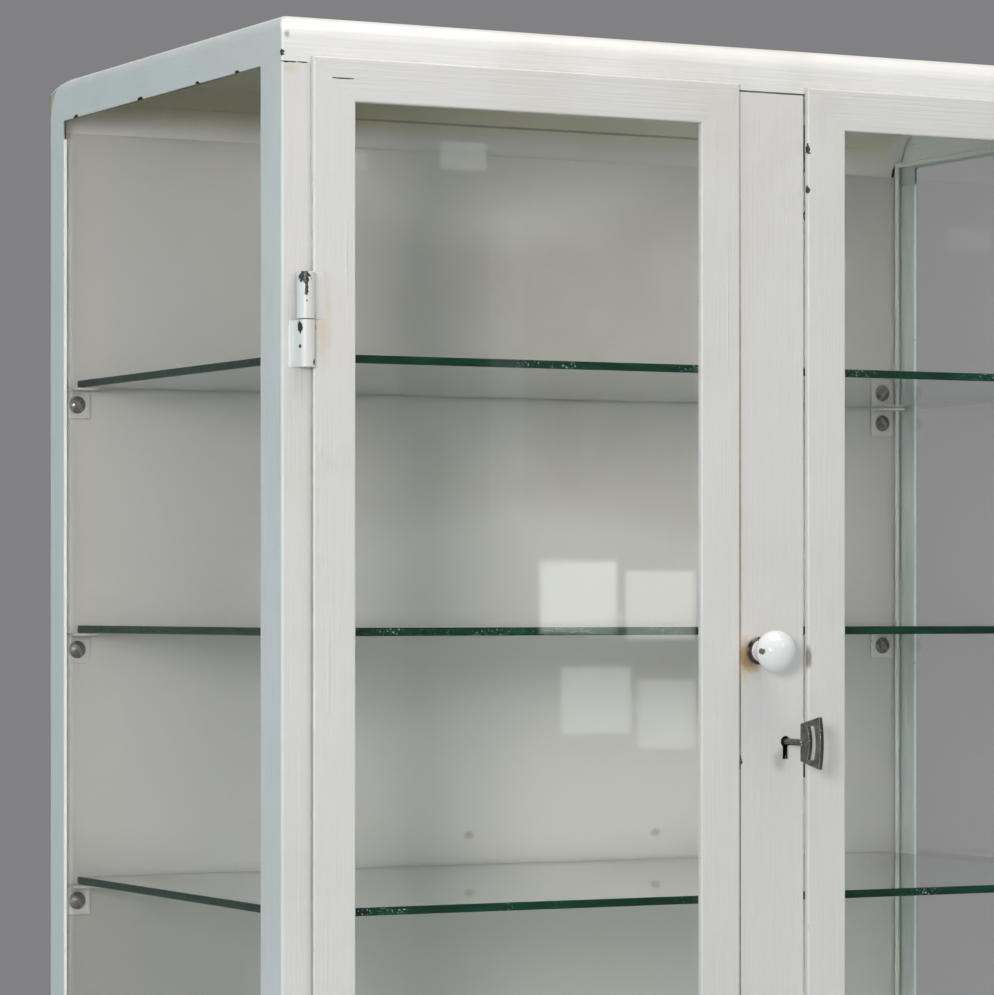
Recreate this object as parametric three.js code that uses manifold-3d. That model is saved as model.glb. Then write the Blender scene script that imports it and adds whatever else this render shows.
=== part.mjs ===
// Glass door medical cabinet: a painted sheet-steel case on angle legs, glazed on three sides,
// with two overlay doors on lift-off hinges, a key lock, slide bolts and four glass shelves.
// Millimetres, +Z up. The origin is on the floor, in the middle of the overall footprint.

import * as THREE from 'three';
import { mergeVertices } from 'three/addons/utils/BufferGeometryUtils.js';
import Module from 'manifold-3d';

const wasm = await Module();
wasm.setup();

// Case
const CASE_WIDTH = 800;
const CASE_DEPTH = 448;
const LEG_HEIGHT = 440;
const TOP_SPACE = 237.5;
const SHELF_PITCH = 197.7;
const SHELF_COUNT = 4;
const TOUCH_GAP = 0.3;

// Roof and floor pans
const ROOF_SHEET = 2;
const ROOF_SKIRT = 33.4;
const ROOF_BACK_SKIRT = 48;
const ROOF_FRONT_ROLL = 15;
const ROOF_BACK_ROLL = 45;
const ROOF_END_ROLL = 10;
const FLOOR_SHEET = 2;
const FLOOR_SKIRT = 33.4;

// Angle posts that run down as legs, each closed by a foot pad
const POST_SHEET = 3;
const FRONT_FLANGE = 37;
const BACK_SIDE_FLANGE = 30;
const BACK_FLANGE = 25;
const FOOT_PAD = 4;

// Back wall and side panes
const BACK_SHEET = 1.2;
const BACK_LAP = 8;
const SIDE_GLASS = 3;
const SIDE_GLASS_LAP = 15;
const SIDE_GLASS_INSET = 2;
const SIDE_BEAD_WIDTH = 4;
const SIDE_BEAD_DEPTH = 3;

// Shelves on screwed angle brackets; the second row of screws was marked a little high
const SHELF_GLASS = 6;
const SHELF_SIDE_MARGIN = 22;
const SHELF_FRONT_SETBACK = 22;
const SHELF_BACK_GAP = 4;
const RAISED_SHELF = 2;
const RAISED_SHELF_LIFT = 2.6;
const BRACKET_WIDTH = 22;
const BRACKET_HEIGHT = 24;
const BRACKET_SHEET = 2;
const BRACKET_REACH = 22;
const BRACKET_SIDE_GAP = 2;
const SCREW_HEAD_RADIUS = 7;
const SCREW_HEAD_RISE = 4;

// Doors: flat frames that overlap the front of the case
const DOOR_MARGIN = 22.5;
const DOOR_SPACING = 59;
const DOOR_LAP = 4.2;
const DOOR_STANDOFF = 0.4;
const DOOR_PLATE = 4.6;
const STILE = 33;
const RAIL = 31;
const DOOR_GLASS = 4;
const DOOR_GLASS_LAP = 11.5;
const DOOR_BEAD_SETBACK = 6;
const DOOR_BEAD_DEPTH = 7;

// Lift-off hinges: the lower knuckle holds the pin, the upper one lifts off it
const HINGE_INSET = 15.5;
const HINGE_DROP = 215.5;
const HINGE_LENGTH = 67;
const KNUCKLE_RADIUS = 6.5;
const KNUCKLE_STANDOFF = 0.4;
const KNUCKLE_GAP = 0.6;
const LEAF_SHEET = 1.6;
const POST_LEAF_REACH = 12;
const DOOR_LEAF_REACH = 20;
const PIN_RADIUS = 3;
const PIN_CLEARANCE = 0.3;
const PIN_END_WALL = 6;

// Lock strip fixed behind the left door's closing stile
const STRIP_SHEET = 2;
const STRIP_LAP = 18;
const STRIP_SIDE_GAP = 1.2;
const STRIP_END_GAP = 1.5;

// Knob and its rose
const KNOB_INSET = 39;
const KNOB_DROP = 450.5;
const KNOB_RADIUS = 15.5;
const KNOB_HALF_LENGTH = 12.5;
const KNOB_STANDOUT = 25;
const NECK_RADIUS = 7;
const STUD_RADIUS = 3;
const STUD_TAIL = 6;
const ROSE_RADIUS = 10.3;
const ROSE_THICKNESS = 3;

// Key, with its axis set in from the strip's free edge
const KEYHOLE_INSET = 15.4;
const KEYHOLE_DROP = 518.5;
const KEYHOLE_RADIUS = 4.2;
const KEYHOLE_SLOT = 5;
const KEYHOLE_SLOT_DROP = 13;
const SHANK_RADIUS = 2.6;
const SHANK_OUT = 26;
const BIT_REACH = 11;
const BIT_THICKNESS = 3;
const BOW_THICKNESS = 3;
const BOW_LENGTH = 26;
const BOW_INNER_HEIGHT = 28;
const BOW_OUTER_HEIGHT = 39;
const BOW_BULGE = 2.5;
const BOW_RIM = 7;
const BOW_EYE_LENGTH = 9;
const BOW_EYE_HEIGHT = 25;

// Lock case behind the strip, its bolt and the staple on the right door
const LOCK_WALL = 1.5;
const LOCK_WIDTH = 36;
const LOCK_DEPTH = 15;
const LOCK_ABOVE_KEY = 20;
const LOCK_BELOW_KEY = 32;
const LOCK_EDGE_GAP = 1;
const BOLT_HEIGHT = 10;
const BOLT_THICKNESS = 6;
const BOLT_LENGTH = 31;
const BOLT_BELOW_KEY = 14;
const BOLT_FRONT_GAP = 3.6;
const BOLT_SLIDE_GAP = 0.5;
const TALON_RISE = 3.5;
const TALON_WIDTH = 2;
const TALON_HALF_SPAN = 3.5;
const STAPLE_WALL = 2;
const STAPLE_REACH = 14;
const STAPLE_EDGE_GAP = 1;
const STAPLE_POCKET_GAP = 1.2;
const STAPLE_WING = 12;

// Slide bolts on the passive right door
const SLIDE_INSET = 7;
const SLIDE_WIDTH = 8;
const SLIDE_THICKNESS = 5;
const SLIDE_LENGTH = 100;
const SLIDE_END_GAP = 2;
const SLIDE_HOLE_GAP = 1.5;
const SLIDE_GUIDE_LENGTH = 36;
const SLIDE_GUIDE_SETBACK = 20;
const SLIDE_GUIDE_WALL = 2;
const SLIDE_GUIDE_GAP = 0.5;
const SLIDE_BASE_GAP = 3;
const SLIDE_KNOB_RADIUS = 4;
const SLIDE_KNOB_LENGTH = 7;
const SLIDE_KNOB_INSET = 12;

// Facets on round stretches
const ROUND_STEPS = 28;
const ROLL_STEPS = 6;
const ROOF_ROLL_STEPS = 12;
const EYE_STEPS = 8;

// How far a cutting form runs past the sheet it cuts, and how close two corners count as one
const OVERCUT = 1;
const SAME_POINT = 1e-4;

// Levels, from the floor up
const FLOOR_TOP = LEG_HEIGHT + FLOOR_SKIRT;
const CASE_TOP = FLOOR_TOP + SHELF_COUNT * SHELF_PITCH + TOP_SPACE;
const SKIRT_EDGE = CASE_TOP - ROOF_SKIRT;
const BACK_SKIRT_EDGE = CASE_TOP - ROOF_BACK_SKIRT;
const KEY_LEVEL = CASE_TOP - KEYHOLE_DROP;
const KNOB_LEVEL = CASE_TOP - KNOB_DROP;
const DOOR_TOP = SKIRT_EDGE + DOOR_LAP;
const DOOR_BOTTOM = FLOOR_TOP - DOOR_LAP;

// Lines across the width and the depth; the front faces of the posts are the plane Y = 0
const HALF_WIDTH = CASE_WIDTH / 2;
const POST_INSIDE = HALF_WIDTH - POST_SHEET - TOUCH_GAP;
const SIDE_PANE_INSIDE = POST_INSIDE - SIDE_GLASS;
const SIDE_BEAD_OUTSIDE = SIDE_PANE_INSIDE - TOUCH_GAP;
const SIDE_BEAD_INSIDE = SIDE_BEAD_OUTSIDE - SIDE_BEAD_DEPTH;
const BACK_WALL_FACE = CASE_DEPTH - POST_SHEET - TOUCH_GAP - BACK_SHEET;
const DOOR_BACK = -DOOR_STANDOFF;
const DOOR_FACE = DOOR_BACK - DOOR_PLATE;
const HINGE_X = HALF_WIDTH - HINGE_INSET;
const HINGE_Y = -(KNUCKLE_RADIUS + KNUCKLE_STANDOFF);
const DOOR_CLOSING_EDGE = DOOR_SPACING / 2;
const DOOR_HINGE_EDGE = HALF_WIDTH - DOOR_MARGIN;
const PANE_BACK = DOOR_BACK + TOUCH_GAP + DOOR_GLASS;
const STRIP_EDGE = DOOR_CLOSING_EDGE - STRIP_SIDE_GAP;
const KEY_X = STRIP_EDGE - KEYHOLE_INSET;
const KNOB_X = STRIP_EDGE - KNOB_INSET;
const LOCK_FRONT = STRIP_SHEET + TOUCH_GAP;
const LOCK_EDGE = STRIP_EDGE - LOCK_EDGE_GAP;
const BOLT_FRONT = LOCK_FRONT + BOLT_FRONT_GAP;
const BOLT_TOP = KEY_LEVEL - BOLT_BELOW_KEY;
const SLIDE_X = DOOR_CLOSING_EDGE + SLIDE_INSET + SLIDE_WIDTH / 2;
const SLIDE_FRONT = DOOR_BACK + TOUCH_GAP + SLIDE_BASE_GAP;
const FRONT_REACH = Math.max(SHANK_OUT + BOW_LENGTH, KNOB_STANDOUT + KNOB_HALF_LENGTH);

// Finishes
const finishes = {
  paint: { color: 0xd6d5d0, roughness: 0.42, metalness: 0 },
  innerPaint: { color: 0xb4b5ae, roughness: 0.5, metalness: 0 },
  glass: { color: 0xc6d8d0, roughness: 0.04, metalness: 0, transparent: true, opacity: 0.35 },
  shelfGlass: { color: 0x2f6d55, roughness: 0.05, metalness: 0, transparent: true, opacity: 0.6 },
  porcelain: { color: 0xf2f0ec, roughness: 0.12, metalness: 0 },
  darkSteel: { color: 0x4a4640, roughness: 0.45, metalness: 0.9 },
  keySteel: { color: 0x8d8a84, roughness: 0.32, metalness: 1 },
};

// Solids: a geometry becomes a closed body that can be joined, cut and turned back into a geometry
function body(geometry) {
  const bare = geometry.index ? geometry.toNonIndexed() : geometry.clone();
  bare.deleteAttribute('normal');
  bare.deleteAttribute('uv');
  const merged = mergeVertices(bare, SAME_POINT);
  const vertProperties = new Float32Array(merged.attributes.position.array);
  const triVerts = new Uint32Array(merged.index.array);
  return new wasm.Manifold(new wasm.Mesh({ numProp: 3, vertProperties, triVerts }));
}

function join(first, ...others) {
  return others.reduce((whole, piece) => whole.add(piece), first);
}

function cut(first, ...tools) {
  return tools.reduce((whole, tool) => whole.subtract(tool), first);
}

function surface(solid) {
  const mesh = solid.getMesh();
  const geometry = new THREE.BufferGeometry();
  const position = new Float32Array(mesh.vertProperties);
  geometry.setAttribute('position', new THREE.BufferAttribute(position, 3));
  geometry.setIndex(new THREE.BufferAttribute(new Uint32Array(mesh.triVerts), 1));
  geometry.computeVertexNormals();
  return geometry;
}

// Basic forms, placed by their limits
function block([x0, x1], [y0, y1], [z0, z1]) {
  const geometry = new THREE.BoxGeometry(Math.abs(x1 - x0), y1 - y0, z1 - z0);
  geometry.translate((x0 + x1) / 2, (y0 + y1) / 2, (z0 + z1) / 2);
  return body(geometry);
}

function prism(shape, length, steps, sideAxis, upAxis, runAxis) {
  const options = { depth: length, bevelEnabled: false, curveSegments: steps };
  const geometry = new THREE.ExtrudeGeometry(shape, options);
  geometry.applyMatrix4(new THREE.Matrix4().makeBasis(sideAxis, upAxis, runAxis));
  return geometry;
}

const axisX = new THREE.Vector3(1, 0, 0);
const axisY = new THREE.Vector3(0, 1, 0);
const axisZ = new THREE.Vector3(0, 0, 1);

// An outline in Y and Z run along X, one in X and Z run along Y, and one in X and Y run along Z
function prismX(shape, [x0, x1], steps = ROLL_STEPS) {
  return body(prism(shape, x1 - x0, steps, axisY, axisZ, axisX).translate(x0, 0, 0));
}

function prismY(shape, [y0, y1], steps = ROLL_STEPS) {
  return body(prism(shape, y1 - y0, steps, axisX, axisZ, axisY.clone().negate()).translate(0, y1, 0));
}

function prismZ(shape, [z0, z1], steps = ROLL_STEPS) {
  return body(prism(shape, z1 - z0, steps, axisX, axisY, axisZ).translate(0, 0, z0));
}

function rodY(radius, [y0, y1], x, z) {
  const geometry = new THREE.CylinderGeometry(radius, radius, y1 - y0, ROUND_STEPS);
  return body(geometry.translate(x, (y0 + y1) / 2, z));
}

function rodZ(radius, [z0, z1], x, y) {
  const geometry = new THREE.CylinderGeometry(radius, radius, z1 - z0, ROUND_STEPS);
  return body(geometry.rotateX(Math.PI / 2).translate(x, y, (z0 + z1) / 2));
}

function outline(points) {
  return new THREE.Shape(points.map(([across, up]) => new THREE.Vector2(across, up)));
}

function frameY([x0, x1], [z0, z1], [left, right, low, high], span) {
  const shape = outline([[x0, z0], [x1, z0], [x1, z1], [x0, z1]]);
  shape.holes.push(outline([[x0 + left, z0 + low], [x0 + left, z1 - high], [x1 - right, z1 - high],
    [x1 - right, z0 + low]]));
  return prismY(shape, span);
}

// The cabinet and its pieces
const cabinet = new THREE.Group();
cabinet.name = 'medical_cabinet';
cabinet.position.y = (FRONT_REACH - CASE_DEPTH) / 2;

function place(name, solid, finish) {
  const mesh = new THREE.Mesh(surface(solid), new THREE.MeshStandardMaterial(finishes[finish]));
  mesh.name = name;
  cabinet.add(mesh);
}

// A span made longer, or shorter, at both ends
function grown([low, high], by) {
  return [low - by, high + by];
}

// Two ends put in rising order
function ordered(a, b) {
  return [Math.min(a, b), Math.max(a, b)];
}

// Pieces drawn on the right-hand side can be set on the left by turning X about
function onSide(sign, [near, far]) {
  return sign > 0 ? [near, far] : [-far, -near];
}

const sides = [['left', -1], ['right', 1]];

// Roof pan: rolled front, back and end edges, open underneath, deeper where it meets the back posts
function roofSection(inset, bottom) {
  const front = inset;
  const back = CASE_DEPTH - inset;
  const top = CASE_TOP - inset;
  const frontRoll = ROOF_FRONT_ROLL - inset;
  const backRoll = ROOF_BACK_ROLL - inset;
  const shape = new THREE.Shape();
  shape.moveTo(front, bottom.front);
  if (bottom.step) {
    shape.lineTo(CASE_DEPTH - BACK_SIDE_FLANGE, bottom.front);
    shape.lineTo(CASE_DEPTH - BACK_SIDE_FLANGE, bottom.back);
  }
  shape.lineTo(back, bottom.back);
  shape.lineTo(back, top - backRoll);
  shape.absarc(back - backRoll, top - backRoll, backRoll, 0, Math.PI / 2, false);
  shape.lineTo(front + frontRoll, top);
  shape.absarc(front + frontRoll, top - frontRoll, frontRoll, Math.PI / 2, Math.PI, false);
  shape.closePath();
  return shape;
}

function roofEnds(inset, bottom) {
  const half = HALF_WIDTH - inset;
  const top = CASE_TOP - inset;
  const roll = ROOF_END_ROLL - inset;
  const shape = new THREE.Shape();
  shape.moveTo(-half, bottom);
  shape.lineTo(half, bottom);
  shape.lineTo(half, top - roll);
  shape.absarc(half - roll, top - roll, roll, 0, Math.PI / 2, false);
  shape.lineTo(roll - half, top);
  shape.absarc(roll - half, top - roll, roll, Math.PI / 2, Math.PI, false);
  shape.closePath();
  return shape;
}

function roofForm(inset, bottom) {
  const low = Math.min(bottom.front, bottom.back) - OVERCUT;
  const spanX = [-HALF_WIDTH - OVERCUT, HALF_WIDTH + OVERCUT];
  const along = prismX(roofSection(inset, bottom), spanX, ROOF_ROLL_STEPS);
  const across = prismY(roofEnds(inset, low), [-OVERCUT, CASE_DEPTH + OVERCUT], ROOF_ROLL_STEPS);
  return along.intersect(across);
}

function roofPan() {
  const outer = roofForm(0, { front: SKIRT_EDGE, back: BACK_SKIRT_EDGE, step: true });
  const below = BACK_SKIRT_EDGE - ROOF_SHEET;
  const inner = roofForm(ROOF_SHEET, { front: below, back: below, step: false });
  return cut(outer, inner);
}

place('roof_pan', roofPan(), 'paint');

// Floor pan: fills the plan between and inside the four posts, with a hole for the lower slide bolt
function floorPlan(inset) {
  const frontX = HALF_WIDTH - FRONT_FLANGE - TOUCH_GAP - inset;
  const backX = HALF_WIDTH - BACK_FLANGE - TOUCH_GAP - inset;
  const innerX = POST_INSIDE - inset;
  const outerX = HALF_WIDTH - inset;
  const innerFront = POST_SHEET + TOUCH_GAP + inset;
  const innerBack = CASE_DEPTH - POST_SHEET - TOUCH_GAP - inset;
  const sideFront = FRONT_FLANGE + TOUCH_GAP + inset;
  const sideBack = CASE_DEPTH - BACK_SIDE_FLANGE - TOUCH_GAP - inset;
  const rightHalf = [
    [frontX, inset], [frontX, innerFront], [innerX, innerFront], [innerX, sideFront],
    [outerX, sideFront], [outerX, sideBack], [innerX, sideBack], [innerX, innerBack],
    [backX, innerBack], [backX, CASE_DEPTH - inset],
  ];
  const leftHalf = rightHalf.map(([x, y]) => [-x, y]).reverse();
  return outline([...rightHalf, ...leftHalf]);
}

function slideHole() {
  const half = SLIDE_WIDTH / 2 + SLIDE_HOLE_GAP;
  return block([SLIDE_X - half, SLIDE_X + half],
    [Math.max(SLIDE_FRONT - SLIDE_HOLE_GAP, FLOOR_SHEET), SLIDE_FRONT + SLIDE_THICKNESS + SLIDE_HOLE_GAP],
    [FLOOR_TOP - 2 * FLOOR_SHEET, FLOOR_TOP + FLOOR_SHEET]);
}

function floorPan() {
  const outer = prismZ(floorPlan(0), [LEG_HEIGHT, FLOOR_TOP]);
  const inner = prismZ(floorPlan(FLOOR_SHEET), [LEG_HEIGHT - OVERCUT, FLOOR_TOP - FLOOR_SHEET]);
  return cut(outer, inner, slideHole());
}

place('floor_pan', floorPan(), 'paint');

// Posts: plain angles from the foot to the roof pan's lower edge
function post(sign, frontward, acrossFlange, sideFlange, top) {
  const face = frontward ? [0, POST_SHEET] : [CASE_DEPTH - POST_SHEET, CASE_DEPTH];
  const run = frontward ? [0, sideFlange] : [CASE_DEPTH - sideFlange, CASE_DEPTH];
  const spanZ = [0, top - TOUCH_GAP];
  const across = onSide(sign, [HALF_WIDTH - acrossFlange, HALF_WIDTH]);
  const along = onSide(sign, [HALF_WIDTH - POST_SHEET, HALF_WIDTH]);
  return join(block(across, face, spanZ), block(along, run, spanZ), block(across, run, [0, FOOT_PAD]));
}

for (const [side, sign] of sides) {
  place(`front_${side}_post`, post(sign, true, FRONT_FLANGE, FRONT_FLANGE, SKIRT_EDGE), 'paint');
  place(`back_${side}_post`, post(sign, false, BACK_FLANGE, BACK_SIDE_FLANGE, BACK_SKIRT_EDGE), 'paint');
}

// Back wall inside the back posts and the roof pan's back skirt
const floorRest = FLOOR_TOP + TOUCH_GAP;
place('back_panel', block([-POST_INSIDE, POST_INSIDE], [BACK_WALL_FACE, BACK_WALL_FACE + BACK_SHEET],
  [floorRest, BACK_SKIRT_EDGE + BACK_LAP]), 'innerPaint');

// Side panes and the bead that holds each one against the posts
// The pane's top stays under the roof pan's rolled back edge.
const sidePaneRun = [POST_SHEET + SIDE_GLASS_INSET, BACK_WALL_FACE - SIDE_GLASS_INSET];

function underBackRoll(y) {
  const roll = ROOF_BACK_ROLL - ROOF_SHEET;
  const along = Math.max(0, y - (CASE_DEPTH - ROOF_BACK_ROLL));
  return CASE_TOP - ROOF_BACK_ROLL + Math.sqrt(Math.max(0, roll * roll - along * along));
}

const sidePaneTop = Math.min(SKIRT_EDGE + SIDE_GLASS_LAP, underBackRoll(sidePaneRun[1]) - SIDE_GLASS_INSET);
const sidePaneRise = [floorRest, sidePaneTop];

function sideBead(sign) {
  const [y0, y1] = sidePaneRun;
  const [z0, z1] = sidePaneRise;
  const shape = outline([[y0, z0], [y1, z0], [y1, z1], [y0, z1]]);
  const [a, b] = [y0 + SIDE_BEAD_WIDTH, y1 - SIDE_BEAD_WIDTH];
  const [c, d] = [z0 + SIDE_BEAD_WIDTH, z1 - SIDE_BEAD_WIDTH];
  shape.holes.push(outline([[a, c], [a, d], [b, d], [b, c]]));
  return prismX(shape, onSide(sign, [SIDE_BEAD_INSIDE, SIDE_BEAD_OUTSIDE]));
}

for (const [side, sign] of sides) {
  const pane = block(onSide(sign, [SIDE_PANE_INSIDE, POST_INSIDE]), sidePaneRun, sidePaneRise);
  place(`${side}_side_glass`, pane, 'glass');
  place(`${side}_side_bead`, sideBead(sign), 'innerPaint');
}

// Shelves and their brackets: two on the front posts, two on the back wall
const shelfBack = BACK_WALL_FACE - SHELF_BACK_GAP;
const bracketEdge = SIDE_BEAD_INSIDE - BRACKET_SIDE_GAP;
const bracketSpan = [bracketEdge - BRACKET_WIDTH, bracketEdge];

function screwHead(x, faceY, outward, z) {
  const dome = new THREE.SphereGeometry(SCREW_HEAD_RADIUS, ROUND_STEPS / 2, ROLL_STEPS * 2);
  dome.scale(1, SCREW_HEAD_RISE / SCREW_HEAD_RADIUS, 1);
  const whole = body(dome.translate(x, faceY, z));
  const reach = outward * 2 * SCREW_HEAD_RADIUS;
  const sunk = faceY - outward * BRACKET_SHEET / 2;
  return whole.intersect(block(grown([x, x], 2 * SCREW_HEAD_RADIUS), ordered(sunk, faceY + reach),
    grown([z, z], 2 * SCREW_HEAD_RADIUS)));
}

function bracket(sign, frontward, ledgeTop) {
  const span = onSide(sign, bracketSpan);
  const wall = frontward ? POST_SHEET + TOUCH_GAP : BACK_WALL_FACE - TOUCH_GAP;
  const inward = frontward ? 1 : -1;
  const face = wall + inward * BRACKET_SHEET;
  const reach = frontward ? SHELF_FRONT_SETBACK + BRACKET_REACH : BACK_WALL_FACE - BRACKET_REACH;
  const plate = block(span, ordered(wall, face), [ledgeTop - BRACKET_HEIGHT, ledgeTop]);
  const ledge = block(span, ordered(wall, reach), [ledgeTop - BRACKET_SHEET, ledgeTop]);
  const screwLevel = ledgeTop - BRACKET_SHEET - (BRACKET_HEIGHT - BRACKET_SHEET) / 2;
  return join(plate, ledge, screwHead((span[0] + span[1]) / 2, face, inward, screwLevel));
}

for (let row = 1; row <= SHELF_COUNT; row += 1) {
  const lift = row === RAISED_SHELF ? RAISED_SHELF_LIFT : 0;
  const shelfTop = CASE_TOP - TOP_SPACE - (row - 1) * SHELF_PITCH + lift;
  const shelfBottom = shelfTop - SHELF_GLASS;
  const half = HALF_WIDTH - SHELF_SIDE_MARGIN;
  const pane = block([-half, half], [SHELF_FRONT_SETBACK, shelfBack], [shelfBottom, shelfTop]);
  place(`shelf_${row}`, pane, 'shelfGlass');
  for (const [side, sign] of sides) {
    const ledgeTop = shelfBottom - TOUCH_GAP;
    place(`shelf_${row}_front_${side}_bracket`, bracket(sign, true, ledgeTop), 'darkSteel');
    place(`shelf_${row}_back_${side}_bracket`, bracket(sign, false, ledgeTop), 'darkSteel');
  }
}

// Door frames, panes and beads
const doorRise = [DOOR_BOTTOM, DOOR_TOP];

for (const [side, sign] of sides) {
  const width = onSide(sign, [DOOR_CLOSING_EDGE, DOOR_HINGE_EDGE]);
  const plate = frameY(width, doorRise, [STILE, STILE, RAIL, RAIL], [DOOR_FACE, DOOR_BACK]);
  place(`${side}_door_frame`, plate, 'paint');
  const paneX = [width[0] + STILE - DOOR_GLASS_LAP, width[1] - STILE + DOOR_GLASS_LAP];
  const paneZ = [DOOR_BOTTOM + RAIL - DOOR_GLASS_LAP, DOOR_TOP - RAIL + DOOR_GLASS_LAP];
  place(`${side}_door_glass`, block(paneX, [DOOR_BACK + TOUCH_GAP, PANE_BACK], paneZ), 'glass');
  const beadWidth = DOOR_GLASS_LAP - DOOR_BEAD_SETBACK;
  const beadSpan = [PANE_BACK + TOUCH_GAP, PANE_BACK + TOUCH_GAP + DOOR_BEAD_DEPTH];
  const bead = frameY(paneX, paneZ, [beadWidth, beadWidth, beadWidth, beadWidth], beadSpan);
  place(`${side}_door_bead`, bead, 'innerPaint');
}

// Hinges: post knuckle with its pin below, door knuckle above
const upperHinge = CASE_TOP - HINGE_DROP;
const hingeLevels = [['upper', upperHinge], ['lower', DOOR_BOTTOM + DOOR_TOP - upperHinge]];

function pinBore(x, span) {
  return rodZ(PIN_RADIUS + PIN_CLEARANCE, span, x, HINGE_Y);
}

for (const [side, sign] of sides) {
  for (const [row, level] of hingeLevels) {
    const x = sign * HINGE_X;
    const low = [level - HINGE_LENGTH / 2, level - KNUCKLE_GAP / 2];
    const high = [level + KNUCKLE_GAP / 2, level + HINGE_LENGTH / 2];
    const pinSpan = [low[0] + PIN_END_WALL, high[1] - PIN_END_WALL];
    const bore = [pinSpan[0] - PIN_CLEARANCE, pinSpan[1] + PIN_CLEARANCE];
    const postLeaf = block(onSide(sign, [HINGE_X, HINGE_X + POST_LEAF_REACH]),
      [-TOUCH_GAP - LEAF_SHEET, -TOUCH_GAP], low);
    const doorLeaf = block(onSide(sign, [HINGE_X - DOOR_LEAF_REACH, HINGE_X]),
      [DOOR_FACE - TOUCH_GAP - LEAF_SHEET, DOOR_FACE - TOUCH_GAP], high);
    const postKnuckle = rodZ(KNUCKLE_RADIUS, low, x, HINGE_Y);
    const doorKnuckle = rodZ(KNUCKLE_RADIUS, high, x, HINGE_Y);
    place(`${side}_${row}_hinge_post_leaf`, cut(join(postKnuckle, postLeaf), pinBore(x, bore)), 'paint');
    place(`${side}_${row}_hinge_door_leaf`, cut(join(doorKnuckle, doorLeaf), pinBore(x, bore)), 'paint');
    place(`${side}_${row}_hinge_pin`, rodZ(PIN_RADIUS, pinSpan, x, HINGE_Y), 'darkSteel');
  }
}

// Lock strip with its keyhole and the knob's stud hole
function lockStrip() {
  const plate = block([-DOOR_CLOSING_EDGE - STRIP_LAP, STRIP_EDGE], [0, STRIP_SHEET],
    [FLOOR_TOP + STRIP_END_GAP, SKIRT_EDGE - STRIP_END_GAP]);
  const through = [-STRIP_SHEET, 2 * STRIP_SHEET];
  const slot = block([KEY_X - KEYHOLE_SLOT / 2, KEY_X + KEYHOLE_SLOT / 2], through,
    [KEY_LEVEL - KEYHOLE_SLOT_DROP, KEY_LEVEL]);
  return cut(plate, rodY(KEYHOLE_RADIUS, through, KEY_X, KEY_LEVEL), slot,
    rodY(STUD_RADIUS + TOUCH_GAP, through, KNOB_X, KNOB_LEVEL));
}

place('lock_strip', lockStrip(), 'paint');

// Knob: a ball and neck on a stud that passes through the rose and the strip
function knob() {
  const seat = -ROSE_THICKNESS - 2 * TOUCH_GAP;
  const neckAngle = Math.asin(NECK_RADIUS / KNOB_RADIUS);
  const profile = [[0, STRIP_SHEET + STUD_TAIL], [STUD_RADIUS, STRIP_SHEET + STUD_TAIL], [STUD_RADIUS, seat],
    [NECK_RADIUS, seat]];
  const steps = ROLL_STEPS * 2;
  for (let step = 0; step < steps; step += 1) {
    const angle = neckAngle + (Math.PI - neckAngle) * step / steps;
    profile.push([KNOB_RADIUS * Math.sin(angle), KNOB_HALF_LENGTH * Math.cos(angle) - KNOB_STANDOUT]);
  }
  profile.push([0, -KNOB_HALF_LENGTH - KNOB_STANDOUT]);
  const points = profile.reverse().map(([radius, along]) => new THREE.Vector2(radius, along));
  return body(new THREE.LatheGeometry(points, ROUND_STEPS).translate(KNOB_X, 0, KNOB_LEVEL));
}

const roseSpan = [-TOUCH_GAP - ROSE_THICKNESS, -TOUCH_GAP];
place('knob_rose', cut(rodY(ROSE_RADIUS, roseSpan, KNOB_X, KNOB_LEVEL),
  rodY(STUD_RADIUS + TOUCH_GAP, grown(roseSpan, OVERCUT), KNOB_X, KNOB_LEVEL)), 'darkSteel');
place('door_knob', knob(), 'porcelain');

// Key: bit and shank in the lock, flat bow outside with an eye that follows its curved rim
function bowShape() {
  const inner = -SHANK_OUT + SHANK_RADIUS;
  const outer = -SHANK_OUT - BOW_LENGTH + BOW_BULGE;
  const eyeOut = outer + BOW_RIM;
  const eyeIn = eyeOut + BOW_EYE_LENGTH;
  const half = BOW_OUTER_HEIGHT / 2;
  const eyeHalf = BOW_EYE_HEIGHT / 2;
  const shape = new THREE.Shape();
  shape.moveTo(inner, -BOW_INNER_HEIGHT / 2);
  shape.lineTo(inner, BOW_INNER_HEIGHT / 2);
  shape.lineTo(outer, half);
  shape.quadraticCurveTo(outer - 2 * BOW_BULGE, 0, outer, -half);
  shape.closePath();
  const eye = new THREE.Path();
  eye.moveTo(eyeOut, -eyeHalf);
  eye.quadraticCurveTo(eyeOut - 2 * BOW_BULGE, 0, eyeOut, eyeHalf);
  eye.lineTo(eyeIn, eyeHalf);
  eye.quadraticCurveTo(eyeIn - 2 * BOW_BULGE, 0, eyeIn, -eyeHalf);
  eye.closePath();
  shape.holes.push(eye);
  return shape;
}

function key() {
  const bitSpan = [BOLT_FRONT, BOLT_FRONT + BOLT_THICKNESS];
  const shank = rodY(SHANK_RADIUS, [-SHANK_OUT, bitSpan[1] + SHANK_RADIUS / 2], KEY_X, KEY_LEVEL);
  const bit = block([KEY_X - BIT_THICKNESS / 2, KEY_X + BIT_THICKNESS / 2], bitSpan,
    [KEY_LEVEL - BIT_REACH, KEY_LEVEL]);
  const half = BOW_THICKNESS / 2;
  const bow = prismX(bowShape(), [KEY_X - half, KEY_X + half], EYE_STEPS).translate([0, 0, KEY_LEVEL]);
  return join(shank, bit, bow);
}

place('key', key(), 'keySteel');

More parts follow.
